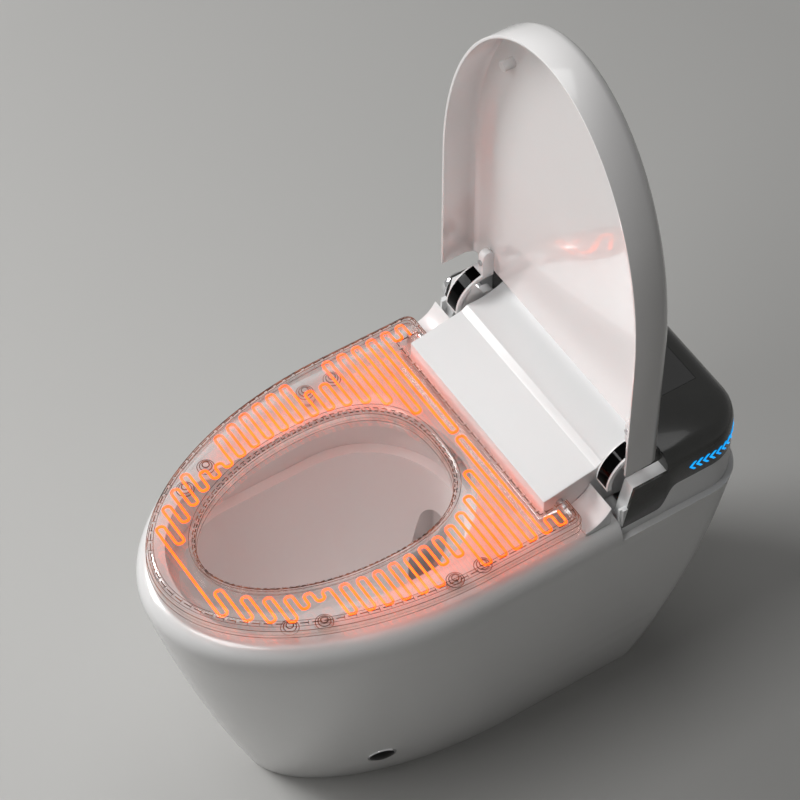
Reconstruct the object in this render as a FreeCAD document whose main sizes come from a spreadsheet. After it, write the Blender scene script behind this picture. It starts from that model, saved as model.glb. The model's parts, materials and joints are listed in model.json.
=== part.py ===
import FreeCAD, Part
import math
import os
from FreeCAD import Vector

# Floor-standing bidet toilet: ceramic pan, heated seat, lid and a rear washing unit.
# Frame: +Z up from the floor, the front of the bowl towards -Y, the wall behind +Y.
# The origin lies on the floor, midway between the front and the rear of the pan.

DRIVING_SIZES = {
    # Ceramic pan
    "body_length": 670,
    "rim_half_width": 190,
    "rim_height": 386,
    "rim_front_length": 300,
    "rim_round_inset": 18,
    "shoulder_drop": 24,
    "base_half_width": 125,
    "base_front_setback": 108,
    "base_rear_setback": 72,
    "base_front_length": 290,
    "waist_bulge": 7,
    "rear_corner": 55,
    "base_corner": 40,
    "ceramic_wall": 13,
    "deck_length": 178,
    # Bowl and trapway
    "bowl_front_margin": 38,
    "bowl_rear_margin": 270,
    "bowl_half_width": 122,
    "ledge_depth": 62,
    "ledge_width": 13,
    "sump_height": 150,
    "sump_half_width": 46,
    "trap_radius": 27,
    "trap_rise": 88,
    "outlet_radius": 45,
    "outlet_rough_in": 305,
    "outlet_collar": 45,
    "fixing_radius": 4.5,
    "fixing_spacing": 160,
    "fixing_rear_margin": 130,
    "fixing_lug": 36,
    "fixing_lug_height": 24,
    # Electronics well behind the bowl
    "well_half_width": 150,
    "well_depth": 44,
    "well_margin": 17,
    "window_half_width": 30,
    "window_top": 14,
    "window_height": 42,
    "channel_margin": 14,
    # Washing unit housing
    "unit_half_width": 182,
    "unit_rear_gap": 1,
    "unit_skin": 3,
    "fit_gap": 0.4,
    "plate_height": 4,
    "cover_length": 117,
    "cover_top": 72,
    "cover_round": 18,
    "panel_low": 12,
    "panel_step": 31,
    "panel_front_lean": 13,
    "panel_foot_length": 46,
    "panel_curve_length": 27,
    "wing_top": 49,
    "wing_width": 16,
    # White nozzle cover between seat and lid
    "box_half_width": 134,
    "box_length": 248,
    "box_front_height": 35,
    "ridge_distance": 176,
    "ridge_width": 8,
    "ridge_height": 54,
    "box_rear_height": 67,
    # Deck with ramps beside the nozzle cover
    "deck_half_width": 176,
    "deck_front_margin": 239,
    "deck_plate": 4,
    "ramp_length": 33,
    "ramp_height": 27,
    "slot_gap": 4,
    # Seat
    "seat_half_width": 176,
    "seat_front_margin": 12,
    "seat_front_length": 313,
    "seat_rear_margin": 254,
    "seat_opening_half_width": 97,
    "seat_opening_front": 57,
    "seat_opening_rear": 48,
    "seat_opening_rear_length": 123,
    "seat_lift": 5,
    "seat_thickness": 29,
    "seat_split": 6,
    "seat_wall": 2.5,
    "seat_round": 10,
    "seat_axis_margin": 227,
    "seat_axis_height": 22,
    "ear_length": 34,
    "ear_gap": 4,
    "ear_block": 14,
    "seat_pin_radius": 4,
    "seat_pin_length": 20,
    "seat_pin_held": 8,
    "running_gap": 0.05,
    "bumper_radius": 9,
    "bumper_edge_inset": 24,
    "bumper_rear_margin": 377,
    "bumper_front_margin": 145,
    "heater_width": 2.6,
    "heater_thickness": 1.2,
    "heater_pitch": 9.8,
    "heater_inset": 12.5,
    "heater_middle_gap": 5,
    "heater_front_inset": 37,
    # Lid
    "lid_half_width": 182,
    "lid_front_margin": 4,
    "lid_front_length": 294,
    "lid_depth": 47,
    "lid_wall": 3.5,
    "lid_round": 14,
    "lid_rim_gap": 5,
    "lid_tail": 42,
    "lid_axis_margin": 140,
    "lid_axis_height": 41,
    "lid_bumper_radius": 6,
    "lid_bumper_spread": 116,
    "lid_bumper_margin": 128,
    # Goose-neck hinge arms
    "arm_radius": 42,
    "arm_thickness": 6,
    "arm_width": 21,
    "arm_side_gap": 5,
    "arm_web": 4,
    "arm_hub_radius": 11,
    "arm_lug_height": 33,
    "arm_lug_width": 9,
    "arm_lug_depth": 15,
    "hinge_pin_radius": 5,
    "band_inset": 2.5,
    "band_thickness": 0.8,
    "lug_screw_radius": 3.5,
    "lug_screw_head": 2,
    # Side knob
    "knob_rear_margin": 152,
    "knob_height": 24,
    "knob_radius": 18,
    "knob_depth": 6.5,
    "knob_sleeve_radius": 12,
    "knob_sleeve_length": 12,
    "button_radius": 9.5,
    "button_travel": 2,
    "button_proud": 0.8,
    # Lights and display
    "chevron_height": 13,
    "chevron_length": 6,
    "chevron_stroke": 3,
    "chevron_pitch": 9,
    "chevron_start": 84,
    "chevron_thickness": 0.8,
    "display_length": 210,
    "display_width": 60,
    "display_thickness": 1.6,
    "display_rear_margin": 56,
    # Foot sensor
    "sensor_height": 60,
    "sensor_angle": 6,
    "sensor_ring_radius": 17,
    "sensor_lens_radius": 12,
    "sensor_flange": 2,
    "sensor_depth": 10,
    # Nozzles and water parts
    "nozzle_angle": 20,
    "nozzle_radius": 8,
    "nozzle_spacing": 26,
    "nozzle_length": 215,
    "nozzle_tip_margin": 263,
    "nozzle_tip_drop": 34,
    "nozzle_cap_length": 16,
    "nozzle_bore": 3,
    "guide_length": 30,
    "guide_wall": 5,
    "slide_gap": 0.3,
    "motor_side": 24,
    "motor_length": 18,
    "heater_tank_length": 78,
    "heater_tank_width": 58,
    "heater_tank_height": 46,
    "tank_margin": 6,
    "tank_neck_margin": 18,
    "tank_neck_radius": 6,
    "tank_neck_height": 6,
    "valve_length": 60,
    "valve_width": 34,
    "valve_height": 32,
    "valve_block_height": 16,
    "valve_coil": 22,
    "valve_margin": 12,
    "board_length": 120,
    "board_width": 70,
    "board_thickness": 1.6,
    "board_post": 8,
    "board_lift": 16,
    "inlet_radius": 10.48,
    "inlet_flange_radius": 17,
    "inlet_flange": 5,
    "inlet_length": 26,
    "inlet_bore": 6,
    "inlet_height": 180,
    "inlet_offset": 88,
    "inlet_seat_depth": 10,
    "gland_flange_radius": 13,
    "gland_bore": 4,
    "gland_length": 14,
    "overrun": 2,
}

SKIRT_STRIPS = 10
RIM_STRIPS = 3
SEAT_STRIPS = 2
HOLLOW_FACETS = 3
BASIN_STRIPS = 4
BASIN_POWER = 1.6
NOSE_POWER = 2
REAR_POWER = 2.5
CHEVRON_COUNT = 10
NUT_SIDES = 6
ARM_TOP_ANGLE = 80
ARM_FOOT_ANGLE = 188
BAND_TOP_ANGLE = 101
BAND_FOOT_ANGLE = 180
WEB_TOP_ANGLE = 118

doc = FreeCAD.newDocument("BidetToilet")
sheet = doc.addObject("Spreadsheet::Sheet", "sizes")
for row, (alias, value) in enumerate(DRIVING_SIZES.items(), start=1):
    sheet.set(f"A{row}", alias)
    sheet.set(f"B{row}", str(value))
    sheet.setAlias(f"B{row}", alias)
doc.recompute()
s = {alias: float(sheet.get(alias)) for alias in DRIVING_SIZES}

# Places along the length, from the front and the rear of the pan
y_front = -s["body_length"] / 2
y_rear = s["body_length"] / 2
deck_start = y_rear - s["deck_length"]
unit_rear = y_rear - s["unit_rear_gap"]
unit_front = deck_start + s["fit_gap"]
cover_front = y_rear - s["cover_length"]
box_front = y_rear - s["box_length"]
bowl_front = y_front + s["bowl_front_margin"]
bowl_rear = y_rear - s["bowl_rear_margin"]
bowl_centre = (bowl_front + bowl_rear) / 2
bowl_half_length = (bowl_rear - bowl_front) / 2
seat_front = y_front + s["seat_front_margin"]
seat_rear = y_rear - s["seat_rear_margin"]
seat_axis_y = y_rear - s["seat_axis_margin"]
lid_axis_y = y_rear - s["lid_axis_margin"]
lid_front = y_front + s["lid_front_margin"]
lid_end = lid_axis_y - s["lid_tail"]

# Heights above the floor
rim = s["rim_height"]
deck_height = rim - s["shoulder_drop"]
plate_top = deck_height + s["plate_height"]
cover_top = rim + s["cover_top"]
wing_top = rim + s["wing_top"]
panel_low = rim - s["panel_low"]
panel_rear_low = panel_low + s["panel_step"]
ledge = rim - s["ledge_depth"]
window_top = rim - s["window_top"]
window_low = window_top - s["window_height"]
deck_top = rim + s["deck_plate"]
seat_low = rim + s["seat_lift"]
seat_split = seat_low + s["seat_split"]
seat_top = seat_low + s["seat_thickness"]
seat_axis_z = rim + s["seat_axis_height"]
lid_axis_z = rim + s["lid_axis_height"]
lid_rim = rim + s["lid_rim_gap"]
lid_top = lid_rim + s["lid_depth"]
lid_ceiling = lid_top - s["lid_wall"]

# Widths from the middle plane
ear_inner = s["box_half_width"] + s["ear_gap"]
arm_inner = s["box_half_width"] + s["arm_side_gap"]
arm_outer = arm_inner + s["arm_width"]
wing_outer = s["unit_half_width"] - s["unit_skin"]
wing_inner = wing_outer - s["wing_width"]
tub_half_width = s["well_half_width"] - s["plate_height"]
tub_front = deck_start + s["well_margin"] + s["plate_height"]
tub_rear = y_rear - s["well_margin"] - s["plate_height"]
tub_low = deck_height - s["well_depth"] + s["plate_height"]
tub_floor = tub_low + s["unit_skin"]
overrun = s["overrun"]
HALF_TURN = math.pi
QUARTER_TURN = math.pi / 2


def block(x_low, x_high, y_low, y_high, z_low, z_high):
    corner = Vector(x_low, y_low, z_low)
    return Part.makeBox(x_high - x_low, y_high - y_low, z_high - z_low, corner)


def both_sides(shape):
    return shape.fuse(shape.mirror(Vector(), Vector(1, 0, 0)))


def mirrored(shape):
    return shape.mirror(Vector(), Vector(1, 0, 0))


def line(start, end):
    return Part.makeLine(start, end)


def round_corner(start, corner, end):
    """Quarter arc from start to end, bulging towards the sharp corner."""
    middle = (start + end) / 2
    bulge_share = math.sqrt(2) - 1
    return Part.Arc(start, middle + (corner - middle) * bulge_share, end).toShape()


def nose_arc(half_width, front, length, z):
    """Half ellipse that rounds the front, from the -X side to the +X side."""
    centre = Vector(0, front + length, z)
    ellipse = Part.Ellipse(Vector(0, front, z), Vector(half_width, front + length, z), centre)
    return Part.ArcOfEllipse(ellipse, -QUARTER_TURN, QUARTER_TURN).toShape()


def egg(half_width, front, widest, rear, z):
    """Closed outline: half ellipse ahead of its widest place and a blunter round behind it."""
    fullness_share = 0.69
    side = half_width * fullness_share
    long = (rear - widest) * fullness_share
    right = Part.BezierCurve()
    right.setPoles([Vector(half_width, widest, z), Vector(half_width, widest + long, z),
                    Vector(side, rear, z), Vector(0, rear, z)])
    left = Part.BezierCurve()
    left.setPoles([Vector(0, rear, z), Vector(-side, rear, z),
                   Vector(-half_width, widest + long, z), Vector(-half_width, widest, z)])
    return Part.Wire([nose_arc(half_width, front, widest - front, z), right.toShape(), left.toShape()])


def rear_edges(half_width, side, rear, corner, z):
    """Sides, rounded rear corners and rear edge, from the +X side round to the -X side."""
    right_start = Vector(half_width, rear - corner, z)
    right_end = Vector(half_width - corner, rear, z)
    left_start = Vector(corner - half_width, rear, z)
    left_end = Vector(-half_width, rear - corner, z)
    return [
        line(Vector(half_width, side, z), right_start),
        round_corner(right_start, Vector(half_width, rear, z), right_end),
        line(right_end, left_start),
        round_corner(left_start, Vector(-half_width, rear, z), left_end),
        line(left_end, Vector(-half_width, side, z)),
    ]


def pan_wire(half_width, front, front_length, rear, corner, z):
    side = front + front_length
    nose = nose_arc(half_width, front, front_length, z)
    return Part.Wire([nose] + rear_edges(half_width, side, rear, corner, z))


def rear_wire(half_width, front, rear, corner, z):
    """Outline with a straight front and rounded rear corners."""
    front_edge = line(Vector(-half_width, front, z), Vector(half_width, front, z))
    return Part.Wire([front_edge] + rear_edges(half_width, front, rear, corner, z))


def rear_prism(half_width, front, rear, corner, z_low, z_high):
    outline = rear_wire(half_width, front, rear, corner, z_low)
    return Part.Face(outline).extrude(Vector(0, 0, z_high - z_low))


def ruled(wires):
    """Solid with straight walls from each outline to the next."""
    return Part.makeLoft(wires, True, True)


def rounded_stack(wire_at, z_low, z_high, radius, steps):
    """Solid over an outline, drawn in towards its top in steps round an edge of the radius."""
    wires = [wire_at(0, z_low)]
    for step in range(steps + 1):
        angle = QUARTER_TURN * step / steps
        inset = radius * (1 - math.cos(angle))
        wires.append(wire_at(inset, z_high - radius + radius * math.sin(angle)))
    return ruled(wires)


def prism_along_x(edges_or_corners, x_low, x_high):
    """Prism over an outline in the YZ plane, given by its corners (y, z) or its edges."""
    if isinstance(edges_or_corners[0], tuple):
        corners = [Vector(0, y, z) for y, z in edges_or_corners]
        outline = Part.makePolygon(corners + corners[:1])
    else:
        outline = Part.Wire(edges_or_corners)
    prism = Part.Face(outline).extrude(Vector(x_high - x_low, 0, 0))
    prism.translate(Vector(x_low, 0, 0))
    return prism


def feature(label, shape, placement=None):
    """Document object for a shape made by Part's own functions."""
    piece = doc.addObject("Part::Feature", label)
    piece.Label = label
    piece.Shape = shape
    if placement:
        piece.Placement = placement
    return piece


def bind(piece, **expressions):
    for name, expression in expressions.items():
        piece.setExpression(name, expression)


def place(piece, x, y, z):
    for axis, expression in zip("xyz", (x, y, z)):
        piece.setExpression(f"Placement.Base.{axis}", expression)


def along(piece, axis, degrees):
    piece.Placement = FreeCAD.Placement(Vector(), FreeCAD.Rotation(axis, degrees))


X_AXIS = Vector(1, 0, 0)
Y_AXIS = Vector(0, 1, 0)
Z_AXIS = Vector(0, 0, 1)
RIGHT_ANGLE = 90
STRAIGHT_ANGLE = 180


# Ceramic pan


def pan_sizes(share):
    """Half width, front, front length, rear and corner of the pan at a share of its shoulder's height."""
    middle_share = 0.5
    bulge = s["waist_bulge"] * (1 - ((share - middle_share) / middle_share) ** 2)

    def between(base, shoulder):
        return base + (shoulder - base) * share

    half_width = between(s["base_half_width"], s["rim_half_width"]) + bulge
    front = between(y_front + s["base_front_setback"], y_front) - bulge
    length = between(s["base_front_length"], s["rim_front_length"])
    rear = between(y_rear - s["base_rear_setback"], y_rear) + bulge
    corner = between(s["base_corner"], s["rear_corner"])
    return half_width, front, length, rear, corner


def pan_outline(share):
    return pan_wire(*pan_sizes(share), deck_height * share)


def hollow_corners(share, wall):
    """Corners of the space inside the skirt, with flat facets round the front and at the rear."""
    half_width, front, length, rear, corner = pan_sizes(share)
    half_width -= wall
    front += wall
    rear -= wall
    length -= wall
    z = deck_height * share
    cut_off = corner - wall
    right = []
    for facet in range(1, HOLLOW_FACETS + 1):
        angle = QUARTER_TURN * facet / HOLLOW_FACETS
        right.append(Vector(half_width * math.sin(angle), front + length * (1 - math.cos(angle)), z))
    right.append(Vector(half_width, rear - cut_off, z))
    right.append(Vector(half_width - cut_off, rear, z))
    left = [Vector(-point.x, point.y, z) for point in reversed(right)]
    return [Vector(0, front, z)] + right + left


def flat_face(corners):
    return Part.Face(Part.makePolygon(corners + corners[:1]))


def faceted_solid(low, high):
    """Solid between two level outlines with as many corners, walled by flat triangles."""
    faces = [flat_face(low), flat_face(high)]
    for index in range(len(low)):
        faces.append(flat_face([low[index - 1], low[index], high[index]]))
        faces.append(flat_face([low[index - 1], high[index], high[index - 1]]))
    return Part.Solid(Part.Shell(faces))


def rim_outline(inset, z):
    return pan_wire(
        s["rim_half_width"] - inset,
        y_front + inset,
        s["rim_front_length"] - inset,
        y_rear - inset,
        s["rear_corner"] - inset,
        z,
    )


def pan_outside():
    """Skirt from the floor to the shoulder, and the rounded rim above it."""
    skirt = ruled([pan_outline(strip / SKIRT_STRIPS) for strip in range(SKIRT_STRIPS + 1)])
    wires = []
    for strip in range(RIM_STRIPS + 1):
        angle = QUARTER_TURN * strip / RIM_STRIPS
        inset = s["rim_round_inset"] * (1 - math.cos(angle))
        wires.append(rim_outline(inset, deck_height + s["shoulder_drop"] * math.sin(angle)))
    wide = s["rim_half_width"] + overrun
    rim_band = ruled(wires).cut(
        block(-wide, wide, deck_start, y_rear + overrun, deck_height, rim + overrun)
    )
    return skirt.fuse(rim_band)


def bowl_profile(grow):
    """Half width and height of the bowl's hollow, from the sump over the ledge to above the rim."""
    wide = s["bowl_half_width"] - s["ledge_width"]
    low = s["sump_height"] - grow
    top = ledge - grow
    profile = []
    for strip in range(BASIN_STRIPS + 1):
        share = strip / BASIN_STRIPS
        half_width = s["sump_half_width"] + (wide - s["sump_half_width"]) * share + grow
        profile.append((half_width, low + (top - low) * share ** BASIN_POWER))
    profile.append((s["bowl_half_width"] + grow, top))
    profile.append((s["bowl_half_width"] + grow, rim + overrun))
    return profile


def bowl_space():
    """Hollow of the bowl: one profile, straight along the sides and turned round both ends."""
    profile = bowl_profile(0)
    straight = bowl_half_length - s["bowl_half_width"]
    y_low = bowl_centre - straight
    y_high = bowl_centre + straight
    heights = [profile[0][1], profile[-1][1]]
    half = [Vector(0, y_low, heights[0])]
    half += [Vector(x, y_low, z) for x, z in profile]
    half += [Vector(0, y_low, heights[1])]
    half_face = Part.Face(Part.makePolygon(half + half[:1]))
    front = half_face.revolve(Vector(0, y_low, 0), Z_AXIS, -STRAIGHT_ANGLE)
    rear = half_face.translated(Vector(0, y_high - y_low, 0)).revolve(
        Vector(0, y_high, 0), Z_AXIS, STRAIGHT_ANGLE
    )
    middle = half_face.extrude(Vector(0, y_high - y_low, 0))
    return both_sides(middle).fuse(front).fuse(rear)


def bowl_jacket(wall):
    """Outside of the bowl under the rim: the hollow's profile and its wall, with eight flat sides."""
    straight = bowl_half_length - s["bowl_half_width"]
    facet_share = math.tan(HALF_TURN / 8)
    levels = []
    for half_width, z in bowl_profile(wall):
        flat = half_width * facet_share
        right = [
            Vector(flat, bowl_centre - straight - half_width, z),
            Vector(half_width, bowl_centre - straight - flat, z),
            Vector(half_width, bowl_centre + straight + flat, z),
            Vector(flat, bowl_centre + straight + half_width, z),
        ]
        corners = right + [Vector(-point.x, point.y, z) for point in reversed(right)]
        levels.append(Part.makePolygon(corners + corners[:1]))
    basin = ruled(levels[:-2])
    collar = ruled(levels[-2:])
    return basin.fuse(collar)


outlet_y = y_rear - s["outlet_rough_in"]


def trap_path():
    """Trapway line from the sump up to the weir, over its level crest and down to the floor."""
    outer = s["trap_radius"] + s["ceramic_wall"]
    turn_share = 1.1
    crest_share = 1.8
    sump_z = s["sump_height"] + s["trap_radius"] / 2
    weir_z = sump_z + s["trap_rise"]
    return Part.makePolygon(
        [
            Vector(0, bowl_centre, sump_z),
            Vector(0, bowl_centre + outer * turn_share, sump_z),
            Vector(0, outlet_y - outer * crest_share, weir_z),
            Vector(0, outlet_y, weir_z),
            Vector(0, outlet_y, 0),
        ]
    )


def trap_tube(ring):
    """Tube of the ring's section along the trapway, with mitred corners."""
    mitred = 1
    return trap_path().makePipeShell([ring], True, False, mitred)


def trap_bore():
    start = trap_path().Vertexes[0].Point
    return trap_tube(Part.Wire([Part.Circle(start, Y_AXIS, s["trap_radius"]).toShape()]))


def trap_jacket():
    """Square outside of the trapway."""
    start = trap_path().Vertexes[0].Point
    half = s["trap_radius"] + s["ceramic_wall"]
    signs = ((1, 1), (-1, 1), (-1, -1), (1, -1))
    corners = [start + Vector(x * half, 0, z * half) for x, z in signs]
    return trap_tube(Part.makePolygon(corners + corners[:1]))


def fixing_lugs():
    half = s["fixing_lug"] / 2
    x = s["fixing_spacing"] / 2
    y = y_rear - s["fixing_rear_margin"]
    return both_sides(block(x - half, s["rim_half_width"], y - half, y + half, 0, s["fixing_lug_height"]))


def fixing_holes():
    y = y_rear - s["fixing_rear_margin"]
    hole = Part.makeCylinder(
        s["fixing_radius"], s["fixing_lug_height"] + overrun, Vector(s["fixing_spacing"] / 2, y, -overrun / 2)
    )
    return both_sides(hole)


def well_space(grow):
    return block(
        -s["well_half_width"] - grow,
        s["well_half_width"] + grow,
        deck_start + s["well_margin"] - grow,
        y_rear - s["well_margin"] + grow,
        deck_height - s["well_depth"] - grow,
        deck_height + overrun,
    )


def surface_point(solid, origin, direction):
    """Where a ray from inside the solid leaves it, and the outward normal there."""
    reach = s["body_length"]
    inside = solid.common(line(origin, origin + direction * reach))
    point = max((vertex.Point for vertex in inside.Vertexes), key=lambda p: (p - origin).Length)
    face = min(solid.Faces, key=lambda f: f.distToShape(Part.Vertex(point))[0])
    u, v = face.Surface.parameter(point)
    return point, face.normalAt(u, v)


outside = pan_outside()
sensor_direction = Vector(
    math.cos(math.radians(s["sensor_angle"])), -math.sin(math.radians(s["sensor_angle"])), 0
)
sensor_origin = Vector(0, y_front + s["base_front_setback"] + s["base_half_width"], s["sensor_height"])
sensor_point, sensor_normal = surface_point(outside, sensor_origin, sensor_direction)


def sensor_disc(radius, inner, outer):
    """Round plug square to the skirt at the foot sensor, between two depths from the surface."""
    return Part.makeCylinder(radius, outer - inner, sensor_point + sensor_normal * inner, sensor_normal)


def rear_face_y(z):
    """Rear of the skirt in the middle plane at the height z."""
    inside = outside.common(line(Vector(0, outlet_y, z), Vector(0, y_rear + overrun, z)))
    return max(vertex.Point.y for vertex in inside.Vertexes)


port_seat = rear_face_y(s["inlet_height"]) - s["inlet_seat_depth"]


def port_pair(inlet_radius, gland_radius, y_low, y_high):
    """Cylinders along Y at the water inlet (-X side) and the cable gland (+X side)."""
    low = Vector(-s["inlet_offset"], y_low, s["inlet_height"])
    inlet = Part.makeCylinder(inlet_radius, y_high - y_low, low, Y_AXIS)
    low = Vector(s["inlet_offset"], y_low, s["inlet_height"])
    gland = Part.makeCylinder(gland_radius, y_high - y_low, low, Y_AXIS)
    return inlet.fuse(gland)


def port_bosses(low):
    """Square bosses inside the skirt behind the water inlet and the cable gland."""
    wall = s["ceramic_wall"]
    bosses = []
    flanges = ((-s["inlet_offset"], s["inlet_flange_radius"]), (s["inlet_offset"], s["gland_flange_radius"]))
    for x, flange in flanges:
        half = flange + wall
        z = s["inlet_height"]
        bosses.append(block(x - half, x + half, low, y_rear, z - half, z + half))
    return bosses[0].fuse(bosses[1])


def ceramic_body():
    wall = s["ceramic_wall"]
    collar = s["outlet_radius"] + wall
    ceiling_share = 1 - wall / deck_height
    hollow = faceted_solid(hollow_corners(0, wall), hollow_corners(ceiling_share, wall))
    boss = wall + s["inlet_seat_depth"]
    keep = [
        bowl_jacket(wall),
        trap_jacket(),
        well_space(wall),
        fixing_lugs(),
        block(-collar, collar, outlet_y - collar, outlet_y + collar, 0, s["outlet_collar"] + wall),
        port_bosses(port_seat - boss),
        block(-s["window_half_width"] - wall, s["window_half_width"] + wall, bowl_rear - wall, y_rear,
              window_low - wall, deck_height),
    ]
    for solid in keep:
        hollow = hollow.cut(solid)
    body = outside.cut(hollow)
    window = block(
        -s["window_half_width"], s["window_half_width"], bowl_centre, deck_start + s["well_margin"] + overrun,
        window_low, window_top,
    )
    channel_start = box_front + s["channel_margin"]
    channel = block(
        -s["window_half_width"], s["window_half_width"], channel_start,
        deck_start + s["well_margin"] + overrun, window_low, rim + overrun,
    )
    ring_depth = s["sensor_depth"] + wall
    bore = Part.makeCylinder(
        s["outlet_radius"], s["outlet_collar"] + overrun, Vector(0, outlet_y, -overrun)
    )
    ports = port_pair(s["inlet_bore"], s["gland_bore"], port_seat - boss - overrun, y_rear)
    seats = port_pair(
        s["inlet_flange_radius"] + s["fit_gap"], s["gland_flange_radius"] + s["fit_gap"],
        port_seat, y_rear + overrun,
    )
    cuts = [
        bowl_space(),
        trap_bore(),
        bore,
        well_space(0),
        window,
        channel,
        fixing_holes(),
        ports,
        seats,
        sensor_disc(s["sensor_ring_radius"] + s["fit_gap"], -s["sensor_flange"], wall),
        sensor_disc(s["sensor_lens_radius"] + s["fit_gap"], -ring_depth, wall),
    ]
    for solid in cuts:
        body = body.cut(solid)
    return body


# Washing unit: base tray, deck, white nozzle cover and black rear cover


def panel_outline(grow):
    """Edges of a black side panel in the YZ plane: slanted front, S-shaped step in the lower edge."""
    front = unit_front + s["unit_skin"] - grow
    foot_end = front + s["panel_foot_length"] + grow
    curve_end = foot_end + s["panel_curve_length"]
    middle = (foot_end + curve_end) / 2
    low = panel_low - grow
    high = wing_top + grow
    rear_low = panel_rear_low - grow
    lower_front = Vector(0, front, low)
    upper_front = Vector(0, front + s["panel_front_lean"], high)
    upper_rear = Vector(0, curve_end, high)
    lower_rear = Vector(0, curve_end, rear_low)
    foot = Vector(0, foot_end, low)
    step = Part.BezierCurve()
    step.setPoles([lower_rear, Vector(0, middle, rear_low), Vector(0, middle, low), foot])
    return [
        line(lower_front, upper_front),
        line(upper_front, upper_rear),
        line(upper_rear, lower_rear),
        step.toShape(),
        line(foot, lower_front),
    ]


def wing(side_gap):
    """Hinge cheek beside each arm, under the black side panel."""
    front = unit_front + s["unit_skin"]
    rear = cover_front + s["wing_width"]
    corners = [
        (front, plate_top),
        (front, panel_low),
        (front + s["panel_front_lean"], wing_top),
        (rear, wing_top),
        (rear, plate_top),
    ]
    return prism_along_x(corners, wing_inner - side_gap, wing_outer)


def hinge_pin_bores(radius):
    start = Vector(arm_inner, lid_axis_y, lid_axis_z)
    return both_sides(Part.makeCylinder(radius, wing_outer - arm_inner, start, X_AXIS))


knob_y = y_rear - s["knob_rear_margin"]
knob_z = rim + s["knob_height"]
board_x = s["nozzle_spacing"]
board_y = tub_rear - s["well_margin"] - s["board_width"]
board_z = deck_height + s["board_lift"]


def board_posts():
    """Four posts under the corners of the control board."""
    side = s["board_post"]
    posts = []
    for x in (board_x, board_x + s["board_length"] - side):
        for y in (board_y, board_y + s["board_width"] - side):
            posts.append(block(x, x + side, y, y + side, tub_floor, board_z))
    return posts


def unit_base():
    skin = s["unit_skin"]
    half = s["unit_half_width"]
    corner = s["rear_corner"]
    plate = rear_prism(half, unit_front, unit_rear, corner, deck_height, plate_top)
    tub = block(-tub_half_width, tub_half_width, tub_front, tub_rear, tub_low, deck_height)
    wall = rear_prism(half, unit_front, unit_rear, corner, plate_top, panel_rear_low)
    thick = skin * 2
    wall_inside = rear_prism(
        half - thick, unit_front - overrun, unit_rear - thick, corner - thick, plate_top, panel_rear_low
    )
    base = plate.fuse(tub).fuse(wall.cut(wall_inside)).fuse(both_sides(wing(0)))
    inside = tub_half_width - skin
    base = base.cut(block(-inside, inside, tub_front + skin, tub_rear - skin, tub_floor, plate_top))
    for post in board_posts():
        base = base.fuse(post)
    pocket = prism_along_x(panel_outline(s["fit_gap"]), wing_outer, half + overrun)
    front_trim = block(
        wing_outer, half + overrun, unit_front - overrun, unit_front + skin, plate_top, wing_top
    )
    base = base.cut(both_sides(pocket.fuse(front_trim)))
    knob_bore = Part.makeCylinder(
        s["knob_sleeve_radius"] + s["running_gap"],
        s["knob_sleeve_length"] + overrun,
        Vector(-wing_outer, knob_y, knob_z),
        X_AXIS,
    )
    return base.cut(hinge_pin_bores(s["hinge_pin_radius"])).cut(knob_bore)


def rear_cover():
    """Black shell over the unit, with side panels that run forward beside the hinges."""
    skin = s["unit_skin"]
    half = s["unit_half_width"]
    corner = s["rear_corner"]

    def shell(inset, front, low, steps):
        def wire_at(drawn_in, z):
            total = inset + drawn_in
            return rear_wire(half - total, front, unit_rear - total, corner - total, z)

        return rounded_stack(wire_at, low, cover_top - inset, s["cover_round"] - inset, steps)

    outer = shell(0, cover_front, panel_rear_low, 3)
    cover = outer.cut(shell(skin, cover_front + skin, panel_rear_low - overrun, 1))
    gap = s["fit_gap"]
    notch = block(
        wing_inner - gap, wing_outer, cover_front - overrun, cover_front + skin + overrun,
        panel_rear_low - overrun, wing_top + gap,
    )
    inside = s["box_half_width"] - skin
    doorway = block(
        -inside, inside, cover_front - overrun, cover_front + skin + overrun,
        panel_rear_low - overrun, rim + s["box_rear_height"] - skin,
    )
    cover = cover.cut(both_sides(notch)).cut(doorway)
    cover = cover.fuse(both_sides(prism_along_x(panel_outline(0), wing_outer, half)))
    cover = cover.cut(display_block(gap))
    knob_hole = Part.makeCylinder(
        s["knob_sleeve_radius"] + s["fit_gap"], skin + overrun * 2,
        Vector(-half - overrun, knob_y, knob_z), X_AXIS,
    )
    return cover.cut(knob_hole)


def display_block(grow):
    y = y_rear - s["display_rear_margin"]
    long = s["display_length"] / 2 + grow
    wide = s["display_width"] / 2 + grow
    return block(-long, long, y - wide, y + wide, cover_top - s["display_thickness"], cover_top)


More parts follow.
